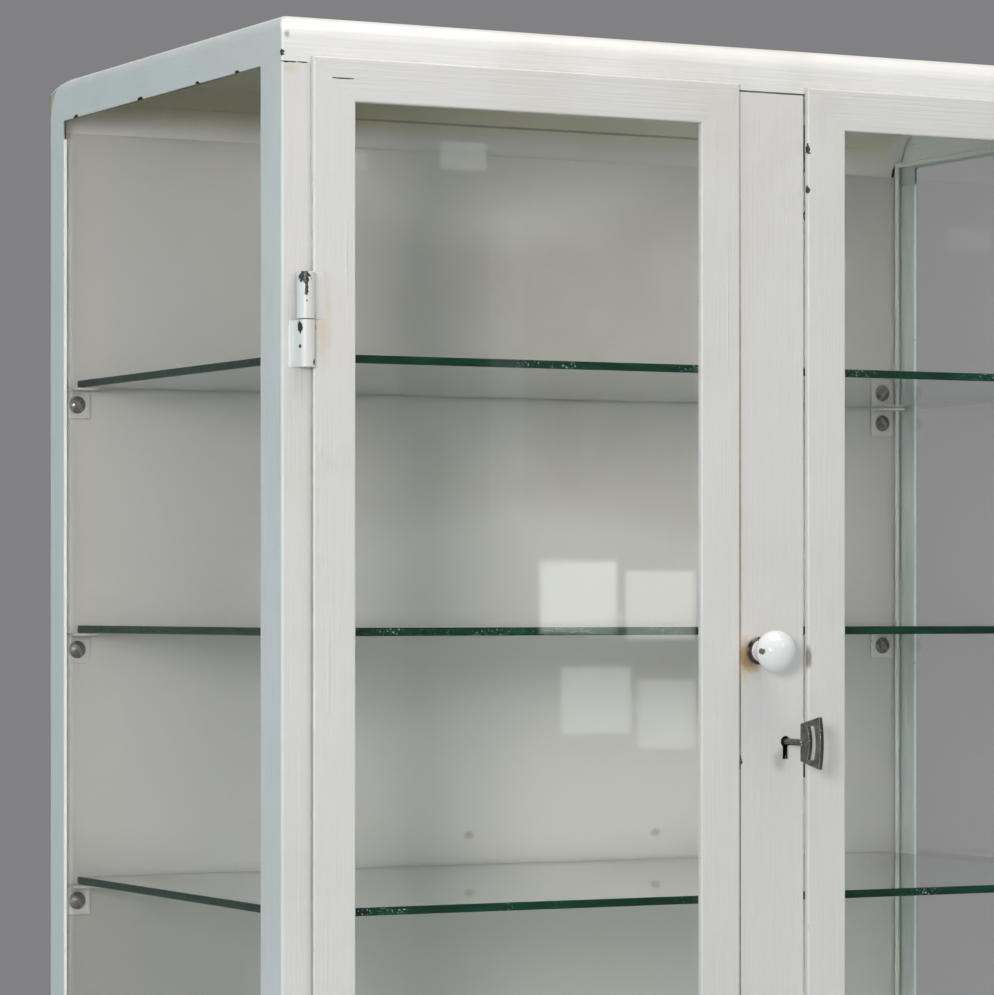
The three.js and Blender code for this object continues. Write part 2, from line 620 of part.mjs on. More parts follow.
// Lock case, open towards the strip, with a slot for the bolt in its free edge
const boltSpanY = [BOLT_FRONT, BOLT_FRONT + BOLT_THICKNESS];
const boltSpanZ = [BOLT_TOP - BOLT_HEIGHT, BOLT_TOP];
function lockCase() {
  const x = [LOCK_EDGE - LOCK_WIDTH, LOCK_EDGE];
  const y = [LOCK_FRONT, LOCK_FRONT + LOCK_DEPTH];
  const z = [KEY_LEVEL - LOCK_BELOW_KEY, KEY_LEVEL + LOCK_ABOVE_KEY];
  const inside = block(grown(x, -LOCK_WALL), [y[0] - OVERCUT, y[1] - LOCK_WALL], grown(z, -LOCK_WALL));
  const slot = block([LOCK_EDGE - 2 * LOCK_WALL, LOCK_EDGE + OVERCUT], grown(boltSpanY, BOLT_SLIDE_GAP),
    grown(boltSpanZ, BOLT_SLIDE_GAP));
  return cut(block(x, y, z), inside, slot);
}

place('lock_case', lockCase(), 'darkSteel');

// Bolt with two talons that straddle the key's bit
function lockBolt() {
  const bar = block([LOCK_EDGE - BOLT_LENGTH, LOCK_EDGE], boltSpanY, boltSpanZ);
  const talons = [-TALON_HALF_SPAN - TALON_WIDTH, TALON_HALF_SPAN].map((offset) => block(
    [KEY_X + offset, KEY_X + offset + TALON_WIDTH], boltSpanY, [BOLT_TOP - OVERCUT, BOLT_TOP + TALON_RISE]));
  return join(bar, ...talons);
}

place('lock_bolt', lockBolt(), 'keySteel');

// Staple on the right door that the bolt enters
function lockStaple() {
  const x = [DOOR_CLOSING_EDGE + STAPLE_EDGE_GAP, DOOR_CLOSING_EDGE + STAPLE_EDGE_GAP + STAPLE_REACH];
  const base = DOOR_BACK + TOUCH_GAP;
  const pocketY = grown(boltSpanY, STAPLE_POCKET_GAP);
  const pocketZ = grown(boltSpanZ, STAPLE_POCKET_GAP);
  const shell = grown(pocketZ, STAPLE_WALL);
  const box = block(x, [base, pocketY[1] + STAPLE_WALL], shell);
  const wings = block(x, [base, base + STAPLE_WALL], grown(shell, STAPLE_WING));
  return cut(join(box, wings), block([x[0] - OVERCUT, x[1] - STAPLE_WALL], pocketY, pocketZ));
}

place('lock_staple', lockStaple(), 'darkSteel');

// Slide bolts at the head and foot of the right door's closing stile, drawn back at rest
function slideBolt(tip, outward) {
  const spanY = [SLIDE_FRONT, SLIDE_FRONT + SLIDE_THICKNESS];
  const tail = tip - outward * SLIDE_LENGTH;
  const bar = block(grown([SLIDE_X, SLIDE_X], SLIDE_WIDTH / 2), spanY, ordered(tip, tail));
  const grip = rodY(SLIDE_KNOB_RADIUS, [spanY[0] + OVERCUT, spanY[1] + SLIDE_KNOB_LENGTH], SLIDE_X,
    tail + outward * SLIDE_KNOB_INSET);
  return join(bar, grip);
}

function slideGuide(tip, outward) {
  const near = tip - outward * SLIDE_GUIDE_SETBACK;
  const far = near - outward * SLIDE_GUIDE_LENGTH;
  const spanZ = ordered(near, far);
  const half = SLIDE_WIDTH / 2 + SLIDE_GUIDE_GAP;
  const inner = [SLIDE_X - half, SLIDE_X + half];
  const innerY = grown([SLIDE_FRONT, SLIDE_FRONT + SLIDE_THICKNESS], SLIDE_GUIDE_GAP);
  const sleeve = block(grown(inner, SLIDE_GUIDE_WALL),
    [DOOR_BACK + TOUCH_GAP, innerY[1] + SLIDE_GUIDE_WALL], spanZ);
  return cut(sleeve, block(inner, innerY, grown(spanZ, OVERCUT)));
}

const slides = [['upper', SKIRT_EDGE - SLIDE_END_GAP, 1], ['lower', FLOOR_TOP + SLIDE_END_GAP, -1]];

for (const [row, tip, outward] of slides) {
  place(`${row}_slide_guide`, slideGuide(tip, outward), 'darkSteel');
  place(`${row}_slide_bolt`, slideBolt(tip, outward), 'keySteel');
}

export default cabinet;
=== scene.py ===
"""Looks of a white painted glass door medical cabinet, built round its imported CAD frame.

A panel in the 3D view's sidebar lists one operator for each group of pieces and one for the stage.
"""

import math
from collections import namedtuple

import bmesh
import bpy
from bpy.props import FloatProperty, FloatVectorProperty, IntProperty, PointerProperty
from mathutils import Matrix, Vector


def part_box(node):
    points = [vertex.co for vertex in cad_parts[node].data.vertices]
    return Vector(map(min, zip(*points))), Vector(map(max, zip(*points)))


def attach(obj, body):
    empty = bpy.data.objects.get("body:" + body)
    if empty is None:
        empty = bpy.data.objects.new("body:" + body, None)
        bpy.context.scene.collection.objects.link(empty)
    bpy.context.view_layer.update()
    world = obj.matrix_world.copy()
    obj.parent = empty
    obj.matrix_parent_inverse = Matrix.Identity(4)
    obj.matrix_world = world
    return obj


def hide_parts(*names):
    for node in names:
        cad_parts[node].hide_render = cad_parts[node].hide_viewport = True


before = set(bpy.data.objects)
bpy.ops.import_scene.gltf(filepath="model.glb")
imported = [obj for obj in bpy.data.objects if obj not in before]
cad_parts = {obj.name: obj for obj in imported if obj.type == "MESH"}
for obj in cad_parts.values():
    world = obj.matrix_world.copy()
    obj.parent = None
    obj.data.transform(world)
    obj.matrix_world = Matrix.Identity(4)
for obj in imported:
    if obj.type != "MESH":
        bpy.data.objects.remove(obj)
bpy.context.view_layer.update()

bl_info = {
    "name": "Glass Door Medical Cabinet",
    "version": (1, 0, 0),
    "blender": (4, 5, 0),
    "location": "3D View > Sidebar > Cabinet",
    "description": "Builds the looks of a painted steel and glass medical cabinet round its CAD frame",
    "category": "Object",
}

MM = 0.001
SIDES = ("left", "right")
ROWS = ("front", "back")
SHELVES = (1, 2, 3, 4)

# What counts as the same place, as long, as flat, as sharp, as smooth and as facing one way.
MERGE = 0.001 * MM
HAIR = 0.01 * MM
NEAR = 0.1 * MM
LONG = 100 * MM
FLAT_ANGLE = math.radians(0.5)
SHARP_ANGLE = math.radians(32)
SMOOTH_ANGLE = math.radians(40)
FACING = 0.9

# Case and doors: the front lies FRONT_MM millimetres before the middle of the row.
FRONT_MM = 198
SEAM_GAP = 0.3 * MM
ROLL_STEPS = 10
FOLD_STEPS = 4
STILE = 33 * MM
RAIL = 31 * MM
STRIP_EDGE = 0.5 * MM
KEY_EDGE = 0.55 * MM

# Shelf brackets and their screws; the arc's step is in degrees and the slot's turn in radians.
BRACKET_SHEET = 2 * MM
BRACKET_EDGE = 0.5 * MM
SCREW_RADIUS = 7 * MM
SCREW_RISE = 4 * MM
SCREW_RIM = 0.3 * MM
SCREW_SINK = 0.5 * MM
SCREW_STEPS = 32
SCREW_ARC_STEP = 11.25
SLOT_TURN = 0.6
SLOT_FLOOR = 0.45 * SCREW_RISE
SLOT_FACING = 0.15
SLOT_INSIDE = 0.98

# Knob and rose; the ball's step is in degrees, and each swell is a share of the neck's radius.
KNOB_HALF_LENGTH = 12.5 * MM
KNOB_NECK = 7 * MM
BALL_STEP = 5.6
THROAT_SWELL = 1.15
NECK_SWELL = 1.04
SEAT_SWELL = 1.12
DISH_SWELL = 1.2
NECK_BLEND = 0.9 * MM
SEAT_BLEND = 1.2 * MM
KNOB_STUD = 2.2 * MM
STUD_GAP = 0.05 * MM
STUD_STEPS = 20
ROSE_BORE = 2.4 * MM
ROSE_DISH = 0.4 * MM

# Hinges: the knuckle's step and the end of its barrel are in degrees round the pin.
KNUCKLE = 6.5 * MM
KNUCKLE_EDGE = 0.9 * MM
KNUCKLE_STEP = 10
BARREL_END = 205
FILLET_RUN = 5 * MM
FILLET_END = 0.2

# Slope of the enamel beside a knuckle, in millimetres out from the pin and up from the door or post.
DOOR_FILLET = ((4.98, 6.1), (6.2, 4.3), (7.6, 2.7), (9.5, 1.5), (12, 0.8), (15, 0.35), (18, -0.2))
POST_FILLET = ((5.63, 10.1), (6.4, 7.2), (7.0, 4.8), (7.7, 2.9), (8.5, 1.5), (9.4, 0.6), (10.5, -0.2))

# Depth of each finish's relief, and how far its edges and corners reach.
ENAMEL_DEPTH = 1.0 * MM
ENAMEL_EDGE = 2.2 * MM
CORNER_REACH = 14 * MM
PANE_WAVE = 0.15 * MM
CRUMB_DEPTH = 0.3 * MM
SCRATCH_DEPTH = 0.12 * MM
STEEL_EDGE = 1.1 * MM
GLAZE_WAVE = 0.4 * MM
GLASS_IOR = 1.47
GLASS_LOSS = 0.04

# Tones of age, use and light on the enamel, the steel, the glass and the glaze.
BARE_METAL = (0.030, 0.026, 0.023, 1)
RUST = (0.23, 0.12, 0.045, 1)
YELLOWED = (0.60, 0.46, 0.25, 1)
# Painted highlight: a lighter tone laid along the brush ridges.
RIDGE_HIGHLIGHT = (0.80, 0.80, 0.78, 1)
# Painted shadow in a small dimple near the roof's front left corner.
DIMPLE_SHADOW = (0.2, 0.19, 0.17, 1)
# Painted shadow of the key on the lock strip, beside the keyhole.
KEY_SHADOW = (0.25, 0.22, 0.17, 1)
KNOB_RUB = (0.16, 0.10, 0.06, 1)
OILY = (0.34, 0.28, 0.11, 1)
# Grime in joints, and a painted shadow in the gap beside the lower left hinge knuckle.
JOINT_DIRT_AND_SHADOW = (0.20, 0.17, 0.14, 1)
# Painted light and painted shade: lighter tones where light falls on the back wall and under the roof,
# duller ones where shade falls on the back wall and the left brackets.
PAINTED_LIGHT = (0.93, 0.91, 0.86, 1)
PAINTED_LIGHT_SOFT = (0.85, 0.825, 0.785, 1)
PAINTED_LIGHT_WARM = (0.84, 0.78, 0.62, 1)
PAINTED_SHADE_FAINT = (0.69, 0.673, 0.645, 1)
PAINTED_SHADE = (0.62, 0.608, 0.582, 1)
PAINTED_SHADE_DEEP = (0.41, 0.405, 0.385, 1)
# Painted shade: the roof's underside darkened to a dull olive.
SHADED_ROOF_INSIDE = (0.43, 0.385, 0.235)
# Painted light: a lighter enamel for the back posts' inner faces and the side beads.
POST_INSIDE_PAINTED_LIGHT = (0.92, 0.93, 0.89)
DULL_STEEL = (0.060, 0.054, 0.047, 1)
RUBBED_STEEL = (0.62, 0.61, 0.58, 1)
GLASS_DUST = (0.75, 0.75, 0.72, 1)
DARK = (0, 0, 0, 1)
EDGE_RUNS = (0.0006, 0.044, 0.025, 1)
EDGE_CRUMBS = (0.70, 0.82, 0.78, 1)
OLD_GLAZE = (0.66, 0.60, 0.48, 1)
CRAZING = (0.30, 0.21, 0.12, 1)
WORN_GLAZE = (0.13, 0.095, 0.042, 1)
FLOOR_SCUFFS = (0.4, 0.4, 0.4, 1)

# How the brush ran: strokes to the metre along each axis.
UPRIGHT = (520.0, 520.0, 11.0)
ACROSS = (11.0, 520.0, 520.0)
DEEP = (520.0, 11.0, 520.0)
EVEN = (45.0, 45.0, 6.0)

# Name, place and width of each square lamp, and the place that all of them face, in metres.
LAMPS = (
    ("key", (1.5, -3.1, 2.6), 0.7), ("front", (-0.35, -5.0, 1.3), 1.8), ("fill", (-2.3, -2.9, 1.5), 0.6),
    ("side", (-3.5, -0.3, 1.5), 1.6), ("top", (0.0, -0.9, 4.0), 2.4),
)
LAMP_TARGET = Vector((0, -0.05, 0.95))

# Light panels: the millimetres of the left door's pane that mirror each one, and its share of the glow.
LightPanel = namedtuple("LightPanel", "left right low high glow")
PANELS = (
    LightPanel(-200, -125, 1060, 1122, 0.68), LightPanel(-128, -56, 1056, 1115, 0.56),
    LightPanel(-182, -114, 987, 1044, 0.41), LightPanel(-117, -56, 975, 1034, 0.35),
    LightPanel(-238, -204, 1120, 1395, 0.10), LightPanel(-278, -235, 1396, 1420, 0.24),
    LightPanel(-347, -332, 1394, 1408, 0.2), LightPanel(-109, -60, 1429, 1443, 0.12),
    LightPanel(154, 200, 1355, 1375, 0.12),
)
PANEL_STRETCH = 2.2
PANEL_BORDER = 0.11
PANEL_COLOUR = (0.97, 1, 0.99, 1)
FLOOR_HALF = 6


def colour(name, description, value):
    """A colour that a user can change."""
    return FloatVectorProperty(name=name, description=description, default=value, size=3, min=0, max=1,
                               subtype="COLOR")


def length(name, description, value):
    """A length in metres that a user can change."""
    return FloatProperty(name=name, description=description, default=value, min=0, unit="LENGTH",
                         subtype="DISTANCE", precision=5)


def share(name, description, value):
    """An amount from none to full that a user can change."""
    return FloatProperty(name=name, description=description, default=value, min=0, max=1, subtype="FACTOR")


class CabinetFinish(bpy.types.PropertyGroup):
    """Colours and age of the cabinet's surfaces."""

    paint: colour("Paint", "Brushed enamel outside", (0.702, 0.672, 0.648))
    # The roof and the right brackets take a lighter enamel than the rest.
    roof_paint: colour("Roof paint", "Fresher enamel on the roof and the right brackets",
                       (0.830, 0.797, 0.768))
    inner_paint: colour("Inner paint", "Enamel on the back wall and the door beads", (0.770, 0.742, 0.705))
    aged_paint: colour("Aged paint", "What the enamel yellows towards", (0.600, 0.560, 0.470))
    # The grime's tone also stands for painted shade in the corners.
    grime: colour("Grime", "Dirt that gathers in corners", (0.200, 0.165, 0.110))
    pane: colour("Pane", "Tint of the door and side panes", (0.980, 0.983, 0.976))
    shelf: colour("Shelf", "Tint of the shelf glass", (0.900, 0.965, 0.935))
    shelf_edge: colour("Shelf edge", "Green of the ground shelf edges", (0.0004, 0.022, 0.012))
    porcelain: colour("Porcelain", "Glaze of the door knob", (0.820, 0.805, 0.795))
    steel: colour("Steel", "Key, bolts and screws", (0.290, 0.285, 0.275))
    rose: colour("Rose", "Browned plate under the knob", (0.060, 0.048, 0.038))
    wear: share("Wear", "How much enamel has chipped off the edges", 0.35)
    # How far grime and painted shade darken the corners.
    dirt: share("Dirt", "How much grime sits in the corners", 0.45)


class CabinetShape(bpy.types.PropertyGroup):
    """Small sizes that the CAD frame leaves sharp."""

    bend: length("Bend", "Outer radius of the folded sheet corners", 2.0 * MM)
    front_roll: length("Front roll", "Radius of the roof's front roll", 15 * MM)
    back_roll: length("Back roll", "Radius of the roof's back roll", 45 * MM)
    end_roll: length("End roll", "Radius of the roof's rolls at both ends", 10 * MM)
    roof_sheet: length("Roof sheet", "Thickness of the roof's sheet", 2 * MM)
    sheet_edge: length("Sheet edge", "Rounding of cut sheet edges under the enamel", 0.8 * MM)
    bar_edge: length("Bar edge", "Rounding of the door frame's bars", 1.5 * MM)
    mitre: length("Mitre", "Groove that is left where two bars of a door frame meet", 0.12 * MM)
    arris: length("Arris", "Ground arris on the shelf edges", 0.7 * MM)
    fitting_edge: length("Fitting edge", "Rounding of the lock, its bolts and their guides", 0.36 * MM)
    screw_slot: length("Screw slot", "Width of the slot in the bracket screws", 1.5 * MM)
    round_steps: IntProperty(name="Round steps", description="Facets around the knob and its rose",
                             default=56, min=12, max=128)


class CabinetStage(bpy.types.PropertyGroup):
    """Camera, light and floor."""

    camera: FloatVectorProperty(name="Camera", description="Where the camera stands", size=3, unit="LENGTH",
                                subtype="TRANSLATION", default=(-1.6266, -2.9136, 1.0855))
    yaw: FloatProperty(name="Yaw", description="Turn of the camera from straight on", subtype="ANGLE",
                       unit="ROTATION", default=math.radians(27.22))
    lens: FloatProperty(name="Lens", description="Focal length in millimetres", default=153.17, min=20)
    rise: FloatProperty(name="Rise", description="Upward shift of the picture", default=0.1078)
    background: colour("Background", "Plain backdrop", (0.219, 0.219, 0.227))
    ambient: colour("Ambient", "Cool light from all around", (0.335, 0.445, 0.510))
    key: colour("Key light", "Warm light from the upper right", (1.0, 0.84, 0.70))
    key_power: FloatProperty(name="Key power", description="Key light in watts", default=5, min=0)
    front: colour("Front light", "Light from straight ahead", (1.0, 0.85, 0.76))
    front_power: FloatProperty(name="Front power", description="Front light in watts", default=4, min=0)
    top: colour("Top light", "Light from above", (1.0, 0.89, 0.82))
    top_power: FloatProperty(name="Top power", description="Light from above in watts", default=68, min=0)
    fill: colour("Fill light", "Light from the front left", (1.0, 0.955, 0.935))
    fill_power: FloatProperty(name="Fill power", description="Fill light in watts", default=49, min=0)
    side: colour("Side light", "Cool light from the left", (0.50, 0.90, 1.0))
    side_power: FloatProperty(name="Side power", description="Side light in watts", default=15, min=0)
    panel_glow: FloatProperty(name="Panel glow", description="Strength of the small light panels",
                              default=4.5, min=0)
    through_glass: colour("Through glass", "Backdrop as the panes show it", (0.270, 0.268, 0.278))
    mirrored: colour("Mirrored", "Darker room that the panes and the metal mirror", (0.028, 0.028, 0.030))
    floor: colour("Floor", "Pale floor", (0.560, 0.540, 0.515))


def at(x, y, z):
    """A place in the row frame from millimetres across, behind the front and above the floor."""
    return Vector((x, y - FRONT_MM, z)) * MM


def node_mesh(node):
    """A merged copy of a CAD node's mesh, with each flat stretch joined into one face."""
    mesh = bmesh.new()
    mesh.from_mesh(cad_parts[node].data)
    bmesh.ops.remove_doubles(mesh, verts=mesh.verts, dist=MERGE)
    bmesh.ops.dissolve_limit(mesh, angle_limit=FLAT_ANGLE, verts=mesh.verts, edges=mesh.edges)
    return mesh


def middle(edge):
    """The middle of an edge."""
    return (edge.verts[0].co + edge.verts[1].co) / 2


def corner_edges(mesh, wanted=lambda edge: True):
    """The outward corners of a mesh that are sharp enough to show, or those of them that are wanted."""
    return [edge for edge in mesh.edges if len(edge.link_faces) == 2 and edge.is_convex
            and edge.calc_face_angle() > SHARP_ANGLE and wanted(edge)]


def round_edges(mesh, edges, radius, segments=2):
    """Rounds edges off by a radius."""
    bmesh.ops.bevel(mesh, geom=edges, offset=radius, offset_type="OFFSET", affect="EDGES",
                    segments=segments, profile=0.5, material=-1, clamp_overlap=True)


def split_at(mesh, place, normal):
    """Cuts new edges into a mesh along a plane."""
    bmesh.ops.bisect_plane(mesh, geom=mesh.verts[:] + mesh.edges[:] + mesh.faces[:], plane_co=place,
                           plane_no=normal, dist=MERGE)


def extrude_outline(mesh, corners, run):
    """A closed solid from an outline and the run it is drawn out along; returns its new faces."""
    before = set(mesh.faces)
    face = mesh.faces.new([mesh.verts.new(corner) for corner in corners])
    grown = bmesh.ops.extrude_face_region(mesh, geom=[face])
    moved = [item for item in grown["geom"] if isinstance(item, bmesh.types.BMVert)]
    bmesh.ops.translate(mesh, verts=moved, vec=run)
    made = [item for item in mesh.faces if item not in before]
    bmesh.ops.recalc_face_normals(mesh, faces=made)
    return made


def turn_profile(mesh, profile, centre, axis, steps):
    """Turns (radius, way along the axis) points that end on the axis or close in a ring."""
    side = axis.orthogonal().normalized()
    before = set(mesh.verts)
    verts = [mesh.verts.new(centre + side * radius + axis * along) for radius, along in profile]
    edges = [mesh.edges.new(pair) for pair in zip(verts, verts[1:])]
    bmesh.ops.spin(mesh, geom=verts + edges, cent=centre, axis=axis, angle=math.tau, steps=steps,
                   use_merge=True)
    made = [vert for vert in mesh.verts if vert not in before]
    bmesh.ops.remove_doubles(mesh, verts=made, dist=MERGE)
    bmesh.ops.recalc_face_normals(mesh, faces=mesh.faces)


def add_piece(name, mesh, body, slot, materials, *nodes):
    """Makes a finished piece that rides a body and stands for CAD nodes."""
    data = bpy.data.meshes.new(name)
    mesh.to_mesh(data)
    mesh.free()
    for material in materials:
        data.materials.append(material)
    data.shade_smooth()
    data.set_sharp_from_angle(angle=SMOOTH_ANGLE)
    piece = bpy.data.objects.new(name, data)
    bpy.context.scene.collection.objects.link(piece)
    normals = piece.modifiers.new("even_shading", "WEIGHTED_NORMAL")
    normals.keep_sharp = True
    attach(piece, body)
    if nodes:
        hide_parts(*nodes)
    return piece


def soften(node, name, body, slot, material, radius, segments=2):
    """A piece with a CAD node's shape and its outward corners rounded off."""
    mesh = node_mesh(node)
    round_edges(mesh, corner_edges(mesh), radius, segments)
    add_piece(name, mesh, body, slot, [material], node)


def dress(node, material):
    """Gives a CAD node that is shown as it is a new material."""
    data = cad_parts[node].data
    data.materials.clear()
    data.materials.append(material)


class Graph:
    """Adds nodes to one tree and joins them by socket."""

    def __init__(self, tree):
        self.tree = tree

    def feed(self, node, sockets):
        """Joins each named socket to another node's output, or sets its value."""
        for name, value in sockets.items():
            if isinstance(value, bpy.types.NodeSocket):
                self.tree.links.new(value, node.inputs[name])
            else:
                node.inputs[name].default_value = value

    def node(self, kind, sockets=None, **settings):
        """A node with its settings, its sockets set or joined."""
        made = self.tree.nodes.new(kind)
        for name, value in settings.items():
            setattr(made, name, value)
        self.feed(made, sockets or {})
        return made

    def group(self, tree, sockets):
        """The outputs of a shared node group, placed in this tree."""
        return self.node("ShaderNodeGroup", sockets, node_tree=tree).outputs

    def place(self):
        """The object's own coordinates."""
        return self.node("ShaderNodeTexCoord").outputs["Object"]

    def scaled(self, vector, scale):
        """Coordinates stretched along each axis."""
        return self.node("ShaderNodeMapping", {"Vector": vector, "Scale": scale}).outputs["Vector"]

    def noise(self, vector, scale, detail=2.0, roughness=0.5):
        """A cloudy value around a half."""
        return self.node("ShaderNodeTexNoise", {"Vector": vector, "Scale": scale, "Detail": detail,
                                                "Roughness": roughness}).outputs["Fac"]

    def math(self, operation, first, second=0.0):
        """One sum."""
        return self.node("ShaderNodeMath", {0: first, 1: second}, operation=operation).outputs["Value"]

    def vector(self, operation, *values):
        """One sum on vectors, with its vector and its value."""
        return self.node("ShaderNodeVectorMath", dict(enumerate(values)), operation=operation).outputs

    def fit(self, value, low, high, start=0.0, end=1.0):
        """A value read between two levels, eased at both ends."""
        return self.node("ShaderNodeMapRange", {"Value": value, "From Min": low, "From Max": high,
                                                "To Min": start, "To Max": end},
                         interpolation_type="SMOOTHSTEP").outputs["Result"]

    def mix(self, factor, first, second):
        """One colour laid over another."""
        return self.node("ShaderNodeMix", {0: factor, 6: first, 7: second}, data_type="RGBA").outputs[2]

    def bump(self, height, distance, strength):
        """A surface normal from a height."""
        return self.node("ShaderNodeBump", {"Height": height, "Distance": distance,
                                            "Strength": strength}).outputs["Normal"]

    def flatness(self, radius):
        """One on the flat, and less within a radius of an edge."""
        eased = self.node("ShaderNodeBevel", {"Radius": radius}, samples=4).outputs["Normal"]
        flat = self.node("ShaderNodeNewGeometry").outputs["Normal"]
        return self.vector("DOT_PRODUCT", eased, flat)["Value"]


def new_group(name, inputs, outputs):
    """An empty shader node group: its graph, what it is given and its output node."""
    tree = bpy.data.node_groups.new(name, "ShaderNodeTree")
    for way, sockets in (("INPUT", inputs), ("OUTPUT", outputs)):
        for label, kind in sockets.items():
            tree.interface.new_socket(name=label, in_out=way, socket_type=f"NodeSocket{kind}")
    graph = Graph(tree)
    return graph, graph.node("NodeGroupInput").outputs, graph.node("NodeGroupOutput")


def make_enamel_group():
    """Hand-brushed enamel: strokes, yellowed patches, grime and painted shade in corners, and chips along
    the edges.
    """
    graph, given, out = new_group(
        "brushed_enamel",
        {"Paint": "Color", "Aged": "Color", "Grime": "Color", "Strokes": "Vector", "Wear": "Float",
         "Dirt": "Float"},
        {"Color": "Color", "Roughness": "Float", "Height": "Float"})
    place = graph.place()
    strokes = graph.noise(graph.scaled(place, given["Strokes"]), 1.0, 3.0, 0.6)
    patches = graph.fit(graph.noise(place, 7.0, 4.0, 0.6), 0.42, 0.75, 0.0, 0.38)
    tone = graph.mix(patches, given["Paint"], given["Aged"])
    tone = graph.mix(graph.fit(strokes, 0.3, 0.7, 0.0, 0.06), tone, given["Aged"])

    # Grime and painted shade where ambient occlusion finds the surface closed in.
    open_air = graph.node("ShaderNodeAmbientOcclusion", {"Distance": CORNER_REACH}, samples=6).outputs["AO"]
    corner = graph.math("SUBTRACT", 1.0, graph.fit(open_air, 0.15, 0.75))
    blotch = graph.fit(graph.noise(place, 55.0, 4.0, 0.65), 0.35, 0.7, 0.35, 1.0)
    dirt = graph.math("MULTIPLY", graph.math("MULTIPLY", corner, blotch), given["Dirt"])
    tone = graph.mix(dirt, tone, given["Grime"])

    # Chips along the edges.
    edge = graph.fit(graph.flatness(ENAMEL_EDGE), 0.985, 0.86)
    worn = graph.math("MULTIPLY", given["Wear"], 0.13)
    scrap = graph.math("ADD", graph.noise(place, 62.0, 4.0, 0.7), worn)
    bare = graph.math("MULTIPLY", graph.fit(scrap, 0.71, 0.735), edge)

    # Relief: strokes, lumps, shorter dabs of the brush, fine grain, and the hollow of each chip.
    drawn = graph.vector("MULTIPLY_ADD", given["Strokes"], (0.2, 0.2, 0.2), (18, 18, 18))["Vector"]
    layers = ((graph.noise(place, 34.0), 0.75), (graph.noise(graph.scaled(place, drawn), 1.0), 0.2),
              (graph.noise(place, 520.0), 0.08), (bare, -0.4))
    relief = graph.math("MULTIPLY", strokes, 0.40)
    for layer, depth in layers:
        relief = graph.math("ADD", relief, graph.math("MULTIPLY", layer, depth))
    gloss = graph.fit(graph.noise(place, 90.0, 3.0), 0.3, 0.7, 0.31, 0.39)
    graph.feed(out, {"Color": graph.mix(bare, tone, BARE_METAL), "Height": relief,
                     "Roughness": graph.math("ADD", gloss, graph.math("MULTIPLY", bare, 0.25))})
    return graph.tree


def make_spot_group():
    """A ragged spot round a place."""
    graph, given, out = new_group(
        "ragged_spot",
        {"Centre": "Vector", "Reach": "Vector", "Soft": "Float", "Ragged": "Float", "Grain": "Float"},
        {"Mask": "Float"})
    place = graph.place()
    apart = graph.vector("SUBTRACT", place, given["Centre"])["Vector"]
    far = graph.vector("LENGTH", graph.vector("DIVIDE", apart, given["Reach"])["Vector"])["Value"]
    stray = graph.math("SUBTRACT", graph.noise(place, given["Grain"], 3.0, 0.6), 0.5)
    far = graph.math("ADD", far, graph.math("MULTIPLY", stray, given["Ragged"]))
    start = graph.math("SUBTRACT", 1.0, given["Soft"])
    graph.feed(out, {"Mask": graph.fit(far, start, 1.0, 1.0, 0.0)})
    return graph.tree


def make_film_group():
    """Old glass: faint wiping marks, dust and a slow wave."""
    graph, given, out = new_group(
        "glass_film", {"Film": "Float"}, {"Roughness": "Float", "Height": "Float", "Dust": "Float"})
    place = graph.place()
    wiped = graph.noise(graph.scaled(place, (9.0, 9.0, 30.0)), 1.0, 4.0, 0.65)
    specks = graph.fit(graph.noise(place, 900.0, 1.0), 0.72, 0.80, 0.0, 0.5)
    graph.feed(out, {"Roughness": graph.math("MULTIPLY", graph.fit(wiped, 0.45, 0.8), given["Film"]),
                     "Height": graph.noise(place, 5.0, 1.0),
                     "Dust": graph.math("ADD", specks, graph.fit(wiped, 0.5, 0.85, 0.0, 0.5))})
    return graph.tree


def make_steel_group():
    """Handled steel: dull patches, fine scratches and a bright worn edge."""
    graph, given, out = new_group(
        "worn_steel", {"Steel": "Color"}, {"Color": "Color", "Roughness": "Float", "Height": "Float"})
    place = graph.place()
    dull = graph.fit(graph.noise(place, 140.0, 5.0, 0.65), 0.38, 0.68)
    lines = graph.noise(graph.scaled(place, (2600.0, 2600.0, 160.0)), 1.0)
    edge = graph.fit(graph.flatness(STEEL_EDGE), 0.985, 0.85, 0.0, 0.7)
    tone = graph.mix(graph.math("MULTIPLY", dull, 0.65), given["Steel"], DULL_STEEL)
    graph.feed(out, {"Color": graph.mix(edge, tone, RUBBED_STEEL),
                     "Roughness": graph.math("ADD", graph.math("MULTIPLY", dull, 0.22), 0.22),
                     "Height": graph.math("ADD", graph.math("MULTIPLY", lines, 0.5), dull)})
    return graph.tree


def shared_group(maker, name):
    """A node group made once and used by several materials."""
    return bpy.data.node_groups.get(name) or maker()


def new_material(name):
    """An empty material, its graph, its surface shader and its output."""
    material = bpy.data.materials.new(name)
    material.use_nodes = True
    material.node_tree.nodes.clear()
    graph = Graph(material.node_tree)
    surface = graph.node("ShaderNodeBsdfPrincipled")
    output = graph.node("ShaderNodeOutputMaterial", {"Surface": surface.outputs["BSDF"]})
    return material, graph, surface, output


Mark = namedtuple("Mark", "centre reach colour strength soft ragged grain depth")


def chip(centre, reach):
    """A flake of enamel off down to the dark steel."""
    return Mark(centre, Vector(reach) * MM, BARE_METAL, 1.0, 0.15, 2.0, 420.0, 1.2)


def stain(centre, reach, tint, strength):
    """A soft discoloured patch."""
    return Mark(centre, Vector(reach) * MM, tint, strength, 0.75, 0.8, 110.0, 0.0)


def grime_and_shadow_line(centre, reach, strength):
    """A thin dark line in a joint: grime, and beside a hinge knuckle a painted shadow."""
    return Mark(centre, Vector(reach) * MM, JOINT_DIRT_AND_SHADOW, strength, 0.6, 0.7, 90.0, 0.0)


